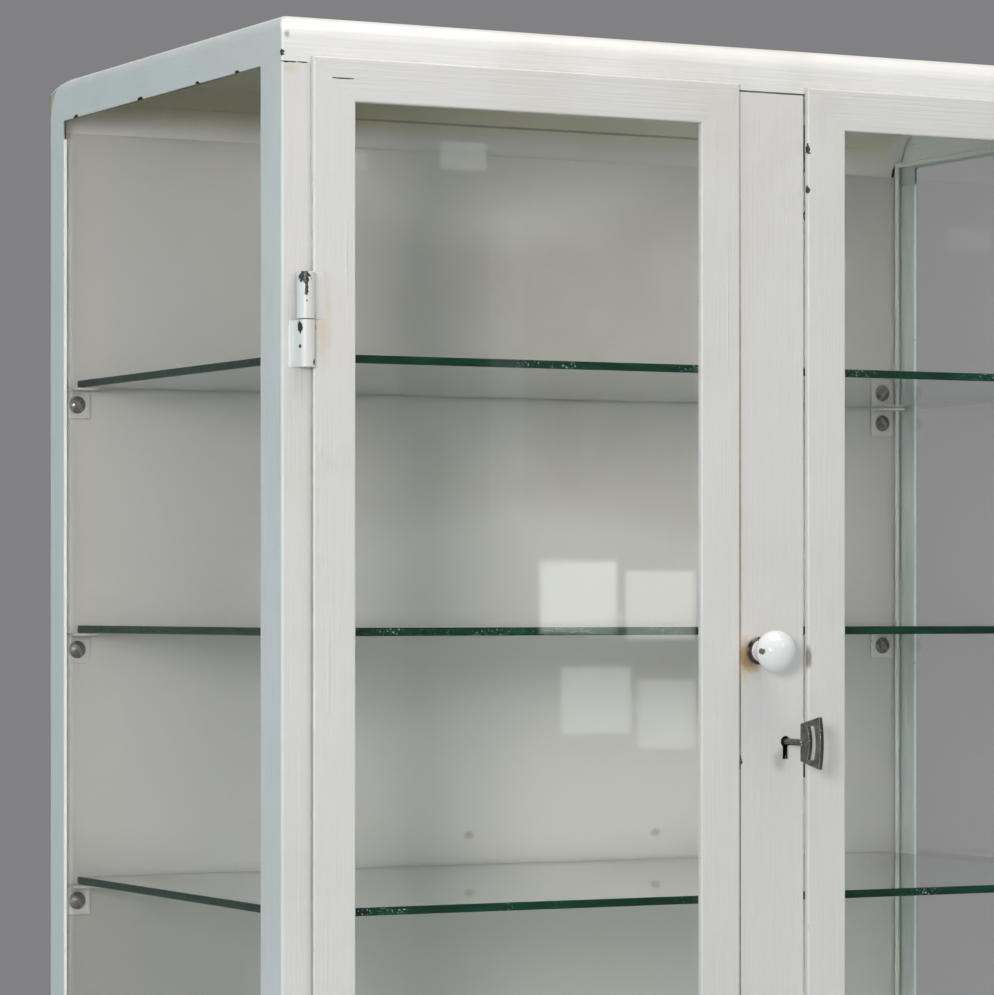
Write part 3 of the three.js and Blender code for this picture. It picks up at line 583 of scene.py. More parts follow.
def ridge(centre, reach):
    """A raised edge that the brush left, with a faint painted highlight along it."""
    return Mark(centre, Vector(reach) * MM, RIDGE_HIGHLIGHT, 0.15, 0.9, 1.1, 160.0, -0.4)


def light_and_shade_wash(centre, reach, tint):
    """A wide soft change of tone: painted light where its tint is lighter, painted shade where it is
    duller.
    """
    return Mark(centre, Vector(reach) * MM, tint, 1.0, 0.5, 0.2, 6.0, 0.0)


def on_wall(x, z):
    """A place on the back wall's inner face, in millimetres across and above the floor."""
    return at(x, 443.5, z)


def wall_light_and_shade_wash(x, z, across, up, tint):
    """Painted light and shade spread over the back wall, which doesn't come through to its outer face."""
    return light_and_shade_wash(on_wall(x, z), (across, 1, up), tint)


# Chips along the roof's left edge, and a painted shadow in a dimple near its front corner.
ROOF_MARKS = [
    chip(at(-400, 0, 1474.2), (2.6, 2.6, 2.2)), chip(at(-400, 78.8, 1468.6), (3, 4.5, 1.5)),
    chip(at(-400, 150.3, 1468.6), (3, 3.5, 1.4)), chip(at(-400, 260.6, 1468.6), (3, 5.5, 1.6)),
    chip(at(-400, 392.0, 1468.6), (3, 5, 1.6)), stain(at(-396, 0, 1487), (3.2, 6, 4), DIMPLE_SHADOW, 0.6),
]
# Painted light on the roof's underside towards the right end and along the back, a dark joint line and a
# chip.
ROOF_INSIDE_MARKS = [
    light_and_shade_wash(at(330, 440, 1476), (570, 120, 120), PAINTED_LIGHT_WARM), light_and_shade_wash(at(398, 230, 1480), (30, 380, 60), PAINTED_LIGHT),
    light_and_shade_wash(at(330, 446, 1444), (1500, 60, 47), PAINTED_LIGHT),
    grime_and_shadow_line(at(20, 435.5, 1485), (400, 14, 1.3), 0.6), chip(at(391, 445, 1463), (1.6, 6, 10)),
]
POST_MARKS = [
    chip(at(-394, 0, 1467.9), (6, 3, 0.9)), chip(at(-384, 0, 1468.0), (4, 3, 0.6)),
    stain(at(-392, 0, 1463), (8, 3, 6), YELLOWED, 0.3),
]
# Painted shade on the left, the lowest part and the right of the back wall, painted light near its top and
# just above two shelves, and two oily stains.
BACK_MARKS = [
    wall_light_and_shade_wash(-440, 950, 330, 1100, PAINTED_SHADE), wall_light_and_shade_wash(0, 740, 1100, 160, PAINTED_SHADE),
    wall_light_and_shade_wash(-440, 740, 330, 190, PAINTED_SHADE_DEEP), wall_light_and_shade_wash(430, 1150, 270, 1100, PAINTED_SHADE_FAINT),
    wall_light_and_shade_wash(-20, 1470, 260, 105, PAINTED_LIGHT), wall_light_and_shade_wash(40, 1105, 290, 80, PAINTED_LIGHT_SOFT),
    wall_light_and_shade_wash(60, 945, 290, 95, PAINTED_LIGHT_SOFT),
    stain(on_wall(-29, 893), (7, 1, 5), OILY, 0.45), stain(on_wall(150, 891), (7, 1, 5), OILY, 0.45),
]
# Chips on the knuckles, and a painted shadow in the gap beside the lower knuckle.
HINGE_MARKS = [
    chip(at(-387.5, -11, 1316), (4.5, 4, 4)), chip(at(-386.6, -13, 1308), (1.3, 3, 7)),
    chip(at(-391, -10, 1281), (2, 3, 4.5)), chip(at(-390.6, -10, 1267), (1.2, 2, 1.4)),
    chip(at(-380, -11, 1256), (2.2, 3, 2.2)), grime_and_shadow_line(at(-378.6, -9.6, 1269), (1.0, 2.2, 17), 0.9),
]
# A chip, a crack, yellowed and rusty stains round the knob, and a painted shadow of the key beside the
# keyhole.
STRIP_MARKS = [
    chip(at(-27.0, 0, 968.7), (2.1, 3, 5)), grime_and_shadow_line(at(-26.4, 0, 960), (0.9, 3, 560), 0.75),
    stain(at(-28.5, 0, 1180), (5, 4, 260), YELLOWED, 0.6),
    stain(at(-28.5, 0, 820), (2.5, 4, 90), YELLOWED, 0.4),
    stain(at(-20, 0, 1046), (17, 4, 21), YELLOWED, 0.8), stain(at(-18, 0, 1047), (14, 4, 15), RUST, 0.75),
    stain(at(8, 0, 969), (8, 4, 10), KEY_SHADOW, 0.4),
]
# Chips, a yellowed tint, a darker line down the outer edge, and raised ridges with a faint painted
# highlight.
LEFT_DOOR_MARKS = [
    chip(at(-355, -5, 1457.6), (10, 2, 0.45)), stain(at(-370, -5, 1286), (9, 3, 44), YELLOWED, 0.35),
    chip(at(-377.5, -4, 1281), (1.2, 3, 6)), grime_and_shadow_line(at(-377.5, -2.2, 960), (0.7, 2.6, 560), 0.6),
    ridge(at(-372, -5, 1196), (2, 3, 12)), ridge(at(-352, -5, 1330), (1.6, 3, 40)),
    ridge(at(-366, -5, 1040), (1.5, 3, 55)), ridge(at(-40, -5, 1300), (1.5, 3, 60)),
]
RIGHT_DOOR_MARKS = [
    chip(at(29.5, -4, 1426), (2.0, 3, 4.5)), chip(at(29.5, -4, 1396), (1.8, 3, 3)),
    stain(at(29.8, -4, 1046), (4, 4, 12), KNOB_RUB, 0.75),
]
KNOB_MARK = Mark(at(-26.0, -29.7, 1051), Vector((3.4, 3.9, 3.0)) * MM, WORN_GLAZE, 1.0, 0.3, 0.9, 600.0,
                 0.0)


def mark_mask(graph, mark):
    """Where a mark shows on a surface."""
    return graph.group(shared_group(make_spot_group, "ragged_spot"), {
        "Centre": mark.centre, "Reach": mark.reach, "Soft": mark.soft, "Ragged": mark.ragged,
        "Grain": mark.grain})["Mask"]


def opaque(tint):
    """A colour with its alpha."""
    return (*tint[:3], 1)


def enamel(name, strokes, marks=(), paint=None, aged=None, wear=1.0, dirt=1.0):
    """A brushed enamel with its own marks; wear, and the grime and painted shade in corners, scale the
    finish's own.
    """
    finish = bpy.context.scene.cabinet_finish
    material, graph, surface, _ = new_material(name)
    look = graph.group(shared_group(make_enamel_group, "brushed_enamel"), {
        "Paint": opaque(paint or finish.paint), "Aged": opaque(aged or finish.aged_paint),
        "Grime": opaque(finish.grime), "Strokes": strokes, "Wear": finish.wear * wear,
        "Dirt": finish.dirt * dirt})
    tone, height = look["Color"], look["Height"]
    for mark in marks:
        mask = mark_mask(graph, mark)
        tone = graph.mix(graph.math("MULTIPLY", mask, mark.strength), tone, mark.colour)
        if mark.depth:
            height = graph.math("SUBTRACT", height, graph.math("MULTIPLY", mask, mark.depth))
    graph.feed(surface, {"Base Color": tone, "Roughness": look["Roughness"],
                         "Normal": graph.bump(height, ENAMEL_DEPTH, 0.9)})
    return material


def pane_glass(name, tint, film):
    """Clear glass that lets light through to what stands behind it, less of it at a slant."""
    material, graph, surface, output = new_material(name)
    look = graph.group(shared_group(make_film_group, "glass_film"), {"Film": film})
    dusty = graph.mix(graph.math("MULTIPLY", look["Dust"], 0.05), opaque(tint), GLASS_DUST)
    graph.feed(surface, {"Base Color": dusty, "Transmission Weight": 1.0, "IOR": GLASS_IOR,
                         "Roughness": look["Roughness"],
                         "Normal": graph.bump(look["Height"], PANE_WAVE, 0.3)})
    slant = graph.node("ShaderNodeLayerWeight", {"Blend": 0.5}).outputs["Facing"]
    lost = graph.fit(graph.math("POWER", slant, 5.0), 0.0, 1.0, GLASS_LOSS, 1.0)
    clear = graph.node("ShaderNodeBsdfTransparent", {"Color": graph.mix(lost, opaque(tint), DARK)})
    shadow = graph.node("ShaderNodeLightPath").outputs["Is Shadow Ray"]
    both = graph.node("ShaderNodeMixShader", {0: shadow, 1: surface.outputs["BSDF"],
                                              2: clear.outputs["BSDF"]})
    graph.feed(output, {"Surface": both.outputs["Shader"]})
    return material


def glass_edge(name, tint, chipped):
    """The ground edge of a glass shelf: dark green, with crumbs as bright as it is chipped."""
    material, graph, surface, _ = new_material(name)
    place = graph.place()
    long_runs = graph.fit(graph.noise(graph.scaled(place, (26.0, 26.0, 260.0)), 1.0, 4.0, 0.7), 0.42, 0.66)
    crumbs = graph.fit(graph.noise(place, 700.0), 0.60, 0.74)
    green = graph.mix(long_runs, opaque(tint), EDGE_RUNS)
    stretches = graph.fit(graph.noise(place, 16.0), 0.47, 0.60, 0.0, chipped)
    chipped_tone = graph.mix(graph.math("MULTIPLY", crumbs, stretches), green, EDGE_CRUMBS)
    graph.feed(surface, {"Base Color": chipped_tone, "Specular IOR Level": 0.04,
                         "Roughness": graph.fit(crumbs, 0.0, 1.0, 0.18, 0.5),
                         "Normal": graph.bump(graph.math("ADD", crumbs, long_runs), CRUMB_DEPTH, 0.6)})
    return material


def worn_steel(name, tint, dark=1.0):
    """Dull handled steel; a lower share of its tint is darker."""
    material, graph, surface, _ = new_material(name)
    tone = [channel * dark for channel in tint]
    look = graph.group(shared_group(make_steel_group, "worn_steel"), {"Steel": opaque(tone)})
    graph.feed(surface, {"Base Color": look["Color"], "Metallic": 0.85, "Roughness": look["Roughness"],
                         "Normal": graph.bump(look["Height"], SCRATCH_DEPTH, 0.7)})
    return material


def glazed(name, tint):
    """Old porcelain under a clear glaze, with faint brown crazing and one worn spot."""
    material, graph, surface, _ = new_material(name)
    place = graph.place()
    clouds = graph.fit(graph.noise(place, 45.0, 3.0), 0.40, 0.80, 0.0, 0.25)
    tone = graph.mix(clouds, opaque(tint), OLD_GLAZE)
    veins = graph.node("ShaderNodeTexVoronoi", {"Vector": place, "Scale": 190.0, "Randomness": 1.0},
                       feature="DISTANCE_TO_EDGE").outputs["Distance"]
    patches = graph.fit(graph.noise(place, 60.0), 0.5, 0.7)
    craze = graph.math("MULTIPLY", graph.fit(veins, 0.05, 0.0), patches)
    tone = graph.mix(graph.math("MULTIPLY", craze, 0.15), tone, CRAZING)
    tone = graph.mix(mark_mask(graph, KNOB_MARK), tone, KNOB_MARK.colour)
    graph.feed(surface, {"Base Color": tone, "Coat Weight": 0.6, "Coat Roughness": 0.06,
                         "Roughness": graph.fit(graph.noise(place, 120.0), 0.3, 0.7, 0.10, 0.20),
                         "Normal": graph.bump(graph.noise(place, 80.0), GLAZE_WAVE, 0.35)})
    return material


class CABINET_OT_case(bpy.types.Operator):
    """Builds the roof, floor pan, posts and back wall"""

    bl_idname = "cabinet.build_case"
    bl_label = "Case"

    def execute(self, context):
        shape, finish = context.scene.cabinet_shape, context.scene.cabinet_finish
        front = enamel("enamel_roof", ACROSS, ROOF_MARKS, finish.roof_paint)
        ends = enamel("enamel_roof_ends", DEEP, ROOF_MARKS)
        # The roof's underside: a darker olive that is painted shade, with patches of painted light.
        inside = enamel("enamel_roof_inside", DEEP, ROOF_INSIDE_MARKS, SHADED_ROOF_INSIDE, SHADED_ROOF_INSIDE, dirt=0.4)
        self.build_roof(shape, front, ends, inside)
        tray = enamel("enamel_floor", ACROSS)
        soften("floor_pan", "floor_tray", "case", "case_paint", tray, shape.sheet_edge)
        upright = enamel("enamel_posts", UPRIGHT, POST_MARKS)
        # The back posts' inner faces take a lighter enamel that is painted light.
        within = enamel("enamel_posts_inside", UPRIGHT, (), POST_INSIDE_PAINTED_LIGHT, dirt=0.0)
        for row in ROWS:
            for side in SIDES:
                self.build_post(shape, f"{row}_{side}_post", f"{row}_{side}_leg", [upright, within])
        # The back wall carries painted light and painted shade besides its stains.
        dress("back_panel", enamel("enamel_back", EVEN, BACK_MARKS, finish.inner_paint))
        return {"FINISHED"}

    def build_roof(self, shape, front, ends, inside):
        """The rolled roof: a pan, open underneath, with a ball at each corner where two rolls meet."""
        low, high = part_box("roof_pan")
        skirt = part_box("front_left_post")[1][2] + SEAM_GAP
        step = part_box("back_left_post")[0][1]
        section = [(low[1], skirt), (step, skirt), (step, low[2]), (high[1], low[2]), (high[1], high[2]),
                   (low[1], high[2])]
        front_low, back_low, back_top, front_top = 0, 3, 4, 5
        end_rolls = ((front_top, back_top, shape.end_roll), (front_low, front_top, shape.bend),
                     (back_low, back_top, shape.bend))
        mesh = bmesh.new()
        rolls = mesh.edges.layers.float.new("bevel_weight_edge")
        ring = {x: [mesh.verts.new((x, y, z)) for y, z in section] for x in (low[0], high[0])}
        left, right = ring[low[0]], ring[high[0]]
        for corners in (left[::-1], right):
            mesh.faces.new(corners).material_index = 1
        for first, second in ((front_low, front_top), (front_top, back_top), (back_top, back_low)):
            mesh.faces.new((left[first], right[first], right[second], left[second]))
        bmesh.ops.recalc_face_normals(mesh, faces=mesh.faces)
        widest = shape.back_roll
        for corner, radius in ((front_top, shape.front_roll), (back_top, widest)):
            mesh.edges.get((left[corner], right[corner]))[rolls] = radius / widest
        for side in (left, right):
            for first, second, radius in end_rolls:
                mesh.edges.get((side[first], side[second]))[rolls] = radius / widest
        paints = [front, ends, inside, inside]
        piece = add_piece("roof_sheet", mesh, "case", "case_paint", paints, "roof_pan")
        even = piece.modifiers[0].name
        roll = piece.modifiers.new("rolls", "BEVEL")
        roll.limit_method = "WEIGHT"
        roll.width = widest
        roll.segments = ROLL_STEPS
        roll.use_clamp_overlap = False
        sheet = piece.modifiers.new("sheet", "SOLIDIFY")
        sheet.thickness = shape.roof_sheet
        sheet.offset = -1
        sheet.material_offset = 2
        piece.modifiers.move(piece.modifiers.find(even), len(piece.modifiers) - 1)

    def build_post(self, shape, node, name, materials):
        """An angle post, run up to the roof's rim as the enamel closes that seam."""
        mesh = node_mesh(node)
        low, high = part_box(node)
        top = [vert for vert in mesh.verts if vert.co.z > high[2] - HAIR]
        bmesh.ops.translate(mesh, verts=top, vec=(0, 0, SEAM_GAP))
        outer_x = max(abs(low[0]), abs(high[0])) - NEAR
        outer_y = low[1] if "front" in node else high[1]

        def bend(edge):
            spot = middle(edge)
            upright = abs(edge.verts[0].co.z - edge.verts[1].co.z) > LONG
            return upright and abs(spot.x) > outer_x and abs(spot.y - outer_y) < NEAR

        folds = corner_edges(mesh, bend)
        below = high[2] - MM
        free = [edge for edge in corner_edges(mesh) if edge not in folds and middle(edge).z < below]
        round_edges(mesh, free, shape.sheet_edge)
        round_edges(mesh, corner_edges(mesh, bend), shape.bend, FOLD_STEPS)
        inward = Vector((math.copysign(1, -low[0] - high[0]), math.copysign(1, -low[1] - high[1]), 0))
        for face in mesh.faces:
            # Both inner faces of a back post, which the side panes show, take the lighter enamel that is
            # painted light.
            face.material_index = int(face.normal.dot(inward) > FACING and "back" in node)
        add_piece(name, mesh, "case", "case_paint", materials, node)


class CABINET_OT_side_windows(bpy.types.Operator):
    """Builds the two side panes and the beads that hold them"""

    bl_idname = "cabinet.build_side_windows"
    bl_label = "Side windows"

    def execute(self, context):
        shape, finish = context.scene.cabinet_shape, context.scene.cabinet_finish
        glass = pane_glass("side_pane", finish.pane, film=0.05)
        # The side beads take the lighter enamel that is painted light.
        bead = enamel("enamel_side_bead", UPRIGHT, (), POST_INSIDE_PAINTED_LIGHT, dirt=0.2)
        for side in SIDES:
            dress(f"{side}_side_glass", glass)
            soften(f"{side}_side_bead", f"{side}_window_bead", "case", "inner_paint", bead,
                   shape.sheet_edge)
        return {"FINISHED"}


class CABINET_OT_shelves(bpy.types.Operator):
    """Builds the glass shelves with ground edges"""

    bl_idname = "cabinet.build_shelves"
    bl_label = "Shelves"

    def execute(self, context):
        shape, finish = context.scene.cabinet_shape, context.scene.cabinet_finish
        glass = pane_glass("shelf_sheet", finish.shelf, film=0.06)
        front = glass_edge("shelf_front_edge", finish.shelf_edge, chipped=0.95)
        edge = glass_edge("shelf_ground_edge", finish.shelf_edge, chipped=0.0)
        for number in SHELVES:
            mesh = node_mesh(f"shelf_{number}")
            round_edges(mesh, corner_edges(mesh), shape.arris, 1)
            for face in mesh.faces:
                if abs(face.normal.z) < FACING:
                    face.material_index = 1 if face.normal.y < -0.5 else 2
            add_piece(f"glass_shelf_{number}", mesh, "case", "shelf_glass", [glass, front, edge],
                      f"shelf_{number}")
        return {"FINISHED"}


class CABINET_OT_brackets(bpy.types.Operator):
    """Builds the shelf brackets and their slotted screws"""

    bl_idname = "cabinet.build_brackets"
    bl_label = "Shelf brackets"

    def execute(self, context):
        shape, finish = context.scene.cabinet_shape, context.scene.cabinet_finish
        # The left brackets, behind the side panes, take a darker enamel and darker corners: painted shade.
        paints = {"left": enamel("enamel_left_brackets", UPRIGHT, (), PAINTED_SHADE, wear=1.4, dirt=1.6),
                  "right": enamel("enamel_right_brackets", UPRIGHT, (), finish.roof_paint, wear=1.4)}
        steel = worn_steel("screw_steel", finish.steel, dark=0.9)
        for number in SHELVES:
            for row in ROWS:
                for side in SIDES:
                    self.build_bracket(shape, f"shelf_{number}_{row}_{side}", row, paints[side], steel)
        return {"FINISHED"}

    def build_bracket(self, shape, name, row, paint, steel):
        """A folded angle under the shelf, with a round-head screw in its upright leaf."""
        low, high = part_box(f"{name}_bracket")
        inward = 1 if row == "front" else -1
        wall, reach = (low[1], high[1]) if row == "front" else (high[1], low[1])
        face = wall + inward * BRACKET_SHEET
        under = high[2] - BRACKET_SHEET
        section = ((wall, low[2]), (face, low[2]), (face, under), (reach, under), (reach, high[2]),
                   (wall, high[2]))
        mesh = bmesh.new()
        extrude_outline(mesh, [(low[0], y, z) for y, z in section], (high[0] - low[0], 0, 0))
        upright = [edge for edge in corner_edges(mesh)
                   if abs(edge.verts[0].co.y - edge.verts[1].co.y) < BRACKET_SHEET * 1.1]
        round_edges(mesh, upright, BRACKET_EDGE)
        add_piece(f"{name}_angle", mesh, "case", "bracket_paint", [paint], f"{name}_bracket")

        head = bmesh.new()
        centre = Vector(((low[0] + high[0]) / 2, face, (low[2] + under) / 2))
        axis = Vector((0, inward, 0))
        turns = [math.radians(step * SCREW_ARC_STEP) for step in range(1, int(90 / SCREW_ARC_STEP))]
        arc = [(SCREW_RADIUS * math.cos(turn), SCREW_RISE * math.sin(turn)) for turn in turns]
        profile = [(0, -SCREW_SINK), (SCREW_RADIUS, -SCREW_SINK), (SCREW_RADIUS, SCREW_RIM), *arc,
                   (0, SCREW_RISE)]
        turn_profile(head, profile, centre, axis, SCREW_STEPS)
        self.cut_slot(head, centre, axis, shape.screw_slot / 2)
        add_piece(f"{name}_screw", head, "case", "fitting_steel", [steel])

    def cut_slot(self, head, centre, axis, half):
        """Sinks a driver slot across the top of a screw head."""
        across = Vector((math.cos(SLOT_TURN), 0, math.sin(SLOT_TURN)))
        for way in (1, -1):
            split_at(head, centre + across * half * way, across)
        strip = [face for face in head.faces if face.normal.dot(axis) > SLOT_FACING
                 and abs((face.calc_center_median() - centre).dot(across)) < half * SLOT_INSIDE]
        sunk = bmesh.ops.extrude_face_region(head, geom=strip)
        for item in sunk["geom"]:
            if isinstance(item, bmesh.types.BMVert):
                rise = (item.co - centre).dot(axis)
                item.co -= axis * max(0.0, rise - SLOT_FLOOR)


class CABINET_OT_doors(bpy.types.Operator):
    """Builds both doors: mitred flat bars, panes and beads"""

    bl_idname = "cabinet.build_doors"
    bl_label = "Doors"

    def execute(self, context):
        shape, finish = context.scene.cabinet_shape, context.scene.cabinet_finish
        glass = pane_glass("door_pane", finish.pane, film=0.05)
        bead = enamel("enamel_door_bead", UPRIGHT, (), finish.inner_paint)
        for side, marks in zip(SIDES, (LEFT_DOOR_MARKS, RIGHT_DOOR_MARKS)):
            stile = enamel(f"enamel_{side}_stiles", UPRIGHT, marks)
            rail = enamel(f"enamel_{side}_rails", ACROSS, marks)
            self.build_frame(shape, side, stile, rail)
            dress(f"{side}_door_glass", glass)
            soften(f"{side}_door_bead", f"{side}_pane_bead", f"{side}_door", "inner_paint", bead,
                   shape.sheet_edge)
        return {"FINISHED"}

    def build_frame(self, shape, side, stile, rail):
        """Four flat bars cut at forty-five degrees and brazed at the corners."""
        low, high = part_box(f"{side}_door_frame")
        outer = [(low[0], low[2]), (high[0], low[2]), (high[0], high[2]), (low[0], high[2])]
        inset = [(STILE, RAIL), (-STILE, RAIL), (-STILE, -RAIL), (STILE, -RAIL)]
        inner = [(x + dx, z + dz) for (x, z), (dx, dz) in zip(outer, inset)]
        mesh = bmesh.new()
        bars = ("bottom rail", "right stile", "top rail", "left stile")
        for first, bar in enumerate(bars):
            second = (first + 1) % len(bars)
            ring = (outer[first], outer[second], inner[second], inner[first])
            corners = [(x, high[1], z) for x, z in ring]
            for face in extrude_outline(mesh, corners, (0, low[1] - high[1], 0)):
                face.material_index = int("rail" in bar)

        def mitred(edge):
            run = edge.verts[1].co - edge.verts[0].co
            return abs(run.x) > MM and abs(run.z) > MM

        def long_front(edge):
            return not mitred(edge) and middle(edge).y < high[1] - NEAR and edge.calc_length() > LONG

        round_edges(mesh, corner_edges(mesh, long_front), shape.bar_edge, 3)
        round_edges(mesh, corner_edges(mesh, mitred), shape.mitre, 1)
        add_piece(f"{side}_door_bars", mesh, f"{side}_door", "case_paint", [stile, rail],
                  f"{side}_door_frame")


class CABINET_OT_hinges(bpy.types.Operator):
    """Builds the four lift-off hinges, their leaves lost under the enamel"""

    bl_idname = "cabinet.build_hinges"
    bl_label = "Hinges"

    def execute(self, context):
        finish = context.scene.cabinet_finish
        paint = enamel("enamel_hinges", UPRIGHT, HINGE_MARKS, wear=1.3)
        steel = worn_steel("hinge_pin_steel", finish.steel)
        for side, inward in zip(SIDES, (1, -1)):
            door_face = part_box(f"{side}_door_frame")[0][1]
            post_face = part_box(f"front_{side}_post")[0][1]
            for row in ("upper", "lower"):
                name = f"{side}_{row}_hinge"
                self.build_half(name, "post", "case", -inward, post_face, POST_FILLET, paint)
                self.build_half(name, "door", f"{side}_door", inward, door_face, DOOR_FILLET, paint)
                dress(f"{name}_pin", steel)
        return {"FINISHED"}

    def build_half(self, name, owner, body, way, face, fillet, paint):
        """A knuckle that runs out on to its door or post in a thick fillet of enamel."""
        pin_low, pin_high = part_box(f"{name}_pin")
        axis_x, axis_y = (pin_low[0] + pin_high[0]) / 2, (pin_low[1] + pin_high[1]) / 2
        low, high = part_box(f"{name}_{owner}_leaf")
        slope = [(axis_x + way * out * MM, face - rise * MM, low[2]) for out, rise in fillet]
        start = math.degrees(math.asin(fillet[0][0] * MM / KNUCKLE))
        count = int((start + BARREL_END) / KNUCKLE_STEP)
        turns = [math.radians(start - KNUCKLE_STEP * step) for step in range(1, count)]
        barrel = [(axis_x + way * KNUCKLE * math.sin(turn), axis_y - KNUCKLE * math.cos(turn), low[2])
                  for turn in turns]
        mesh = bmesh.new()
        extrude_outline(mesh, slope[::-1] + barrel, (0, 0, high[2] - low[2]))
        for level in (low[2] + FILLET_RUN, high[2] - FILLET_RUN):
            split_at(mesh, (0, 0, level), (0, 0, 1))
        for vert in mesh.verts:
            at_end = min(vert.co.z - low[2], high[2] - vert.co.z) < HAIR
            on_slope = (vert.co.x - axis_x) * way > fillet[1][0] * MM - HAIR and vert.co.y < face
            if at_end and on_slope:
                vert.co.y = face + (vert.co.y - face) * FILLET_END
        ends = [edge for edge in corner_edges(mesh)
                if abs(edge.verts[0].co.z - edge.verts[1].co.z) < HAIR]
        round_edges(mesh, ends, KNUCKLE_EDGE, 3)
        add_piece(f"{name}_{owner}_half", mesh, body, "case_paint", [paint], f"{name}_{owner}_leaf")


class CABINET_OT_lock(bpy.types.Operator):
    """Builds the lock strip, knob, key, lock and slide bolts"""

    bl_idname = "cabinet.build_lock"
    bl_label = "Lock and knob"

    def execute(self, context):
        shape, finish = context.scene.cabinet_shape, context.scene.cabinet_finish
        strip = enamel("enamel_strip", UPRIGHT, STRIP_MARKS)
        soften("lock_strip", "closing_strip", "left_door", "case_paint", strip, STRIP_EDGE)
        self.build_knob(shape, finish)
        steel = worn_steel("lock_steel", finish.steel)
        key = worn_steel("key_steel_worn", finish.steel, dark=0.55)
        soften("key", "door_key", "key", "key_steel", key, KEY_EDGE, 3)
        fixed = {"lock_case": "left_door", "lock_staple": "right_door", "upper_slide_guide": "right_door",
                 "lower_slide_guide": "right_door"}
        for node, body in fixed.items():
            soften(node, f"{node}_body", body, "fitting_steel", steel, shape.fitting_edge)
        for node in ("lock_bolt", "upper_slide_bolt", "lower_slide_bolt"):
            soften(node, f"{node}_bar", node, "key_steel", key, shape.fitting_edge)
        return {"FINISHED"}

    def build_knob(self, shape, finish):
        """A turned porcelain ball and neck, and the dished rose under it."""
        low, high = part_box("door_knob")
        rose_low, rose_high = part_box("knob_rose")
        centre = Vector(((low[0] + high[0]) / 2, low[1], (low[2] + high[2]) / 2))
        back = Vector((0, 1, 0))
        radius, half = (high[0] - low[0]) / 2, KNOB_HALF_LENGTH
        neck, seat = KNOB_NECK, rose_low[1] - low[1] - SEAM_GAP
        throat = half + half * math.sqrt(1 - (neck * THROAT_SWELL / radius) ** 2)
        turns = [math.radians(step * BALL_STEP) for step in range(1, int(180 / BALL_STEP) + 1)]
        ball = [(radius * math.sin(turn), half - half * math.cos(turn)) for turn in turns]
        ball = [(across, along) for across, along in ball if along < throat]
        profile = [(0, 0), *ball, (neck * NECK_SWELL, throat + NECK_BLEND), (neck, throat + 2 * NECK_BLEND),
                   (neck, seat - SEAT_BLEND), (neck * SEAT_SWELL, seat), (0, seat)]
        mesh = bmesh.new()
        turn_profile(mesh, profile, centre, back, shape.round_steps)
        start, end = seat + STUD_GAP, high[1] - low[1]
        stud = [(0, start), (KNOB_STUD, start), (KNOB_STUD, end), (0, end)]
        turn_profile(mesh, stud, centre, back, STUD_STEPS)
        glaze = glazed("knob_glaze", finish.porcelain)
        add_piece("knob_ball", mesh, "left_door", "porcelain", [glaze], "door_knob")

        rose = bmesh.new()
        edge, depth = (rose_high[0] - rose_low[0]) / 2, rose_high[1] - rose_low[1]
        spot = Vector((centre.x, rose_low[1], centre.z))
        ring = [(ROSE_BORE, depth), (ROSE_BORE, ROSE_DISH), (neck * DISH_SWELL, 0.0),
                (edge * 0.86, depth * 0.28), (edge, depth * 0.7), (edge, depth), (ROSE_BORE, depth)]
        turn_profile(rose, ring, spot, back, shape.round_steps)
        add_piece("knob_plate", rose, "left_door", "fitting_steel",
                  [worn_steel("rose_steel", finish.rose)], "knob_rose")


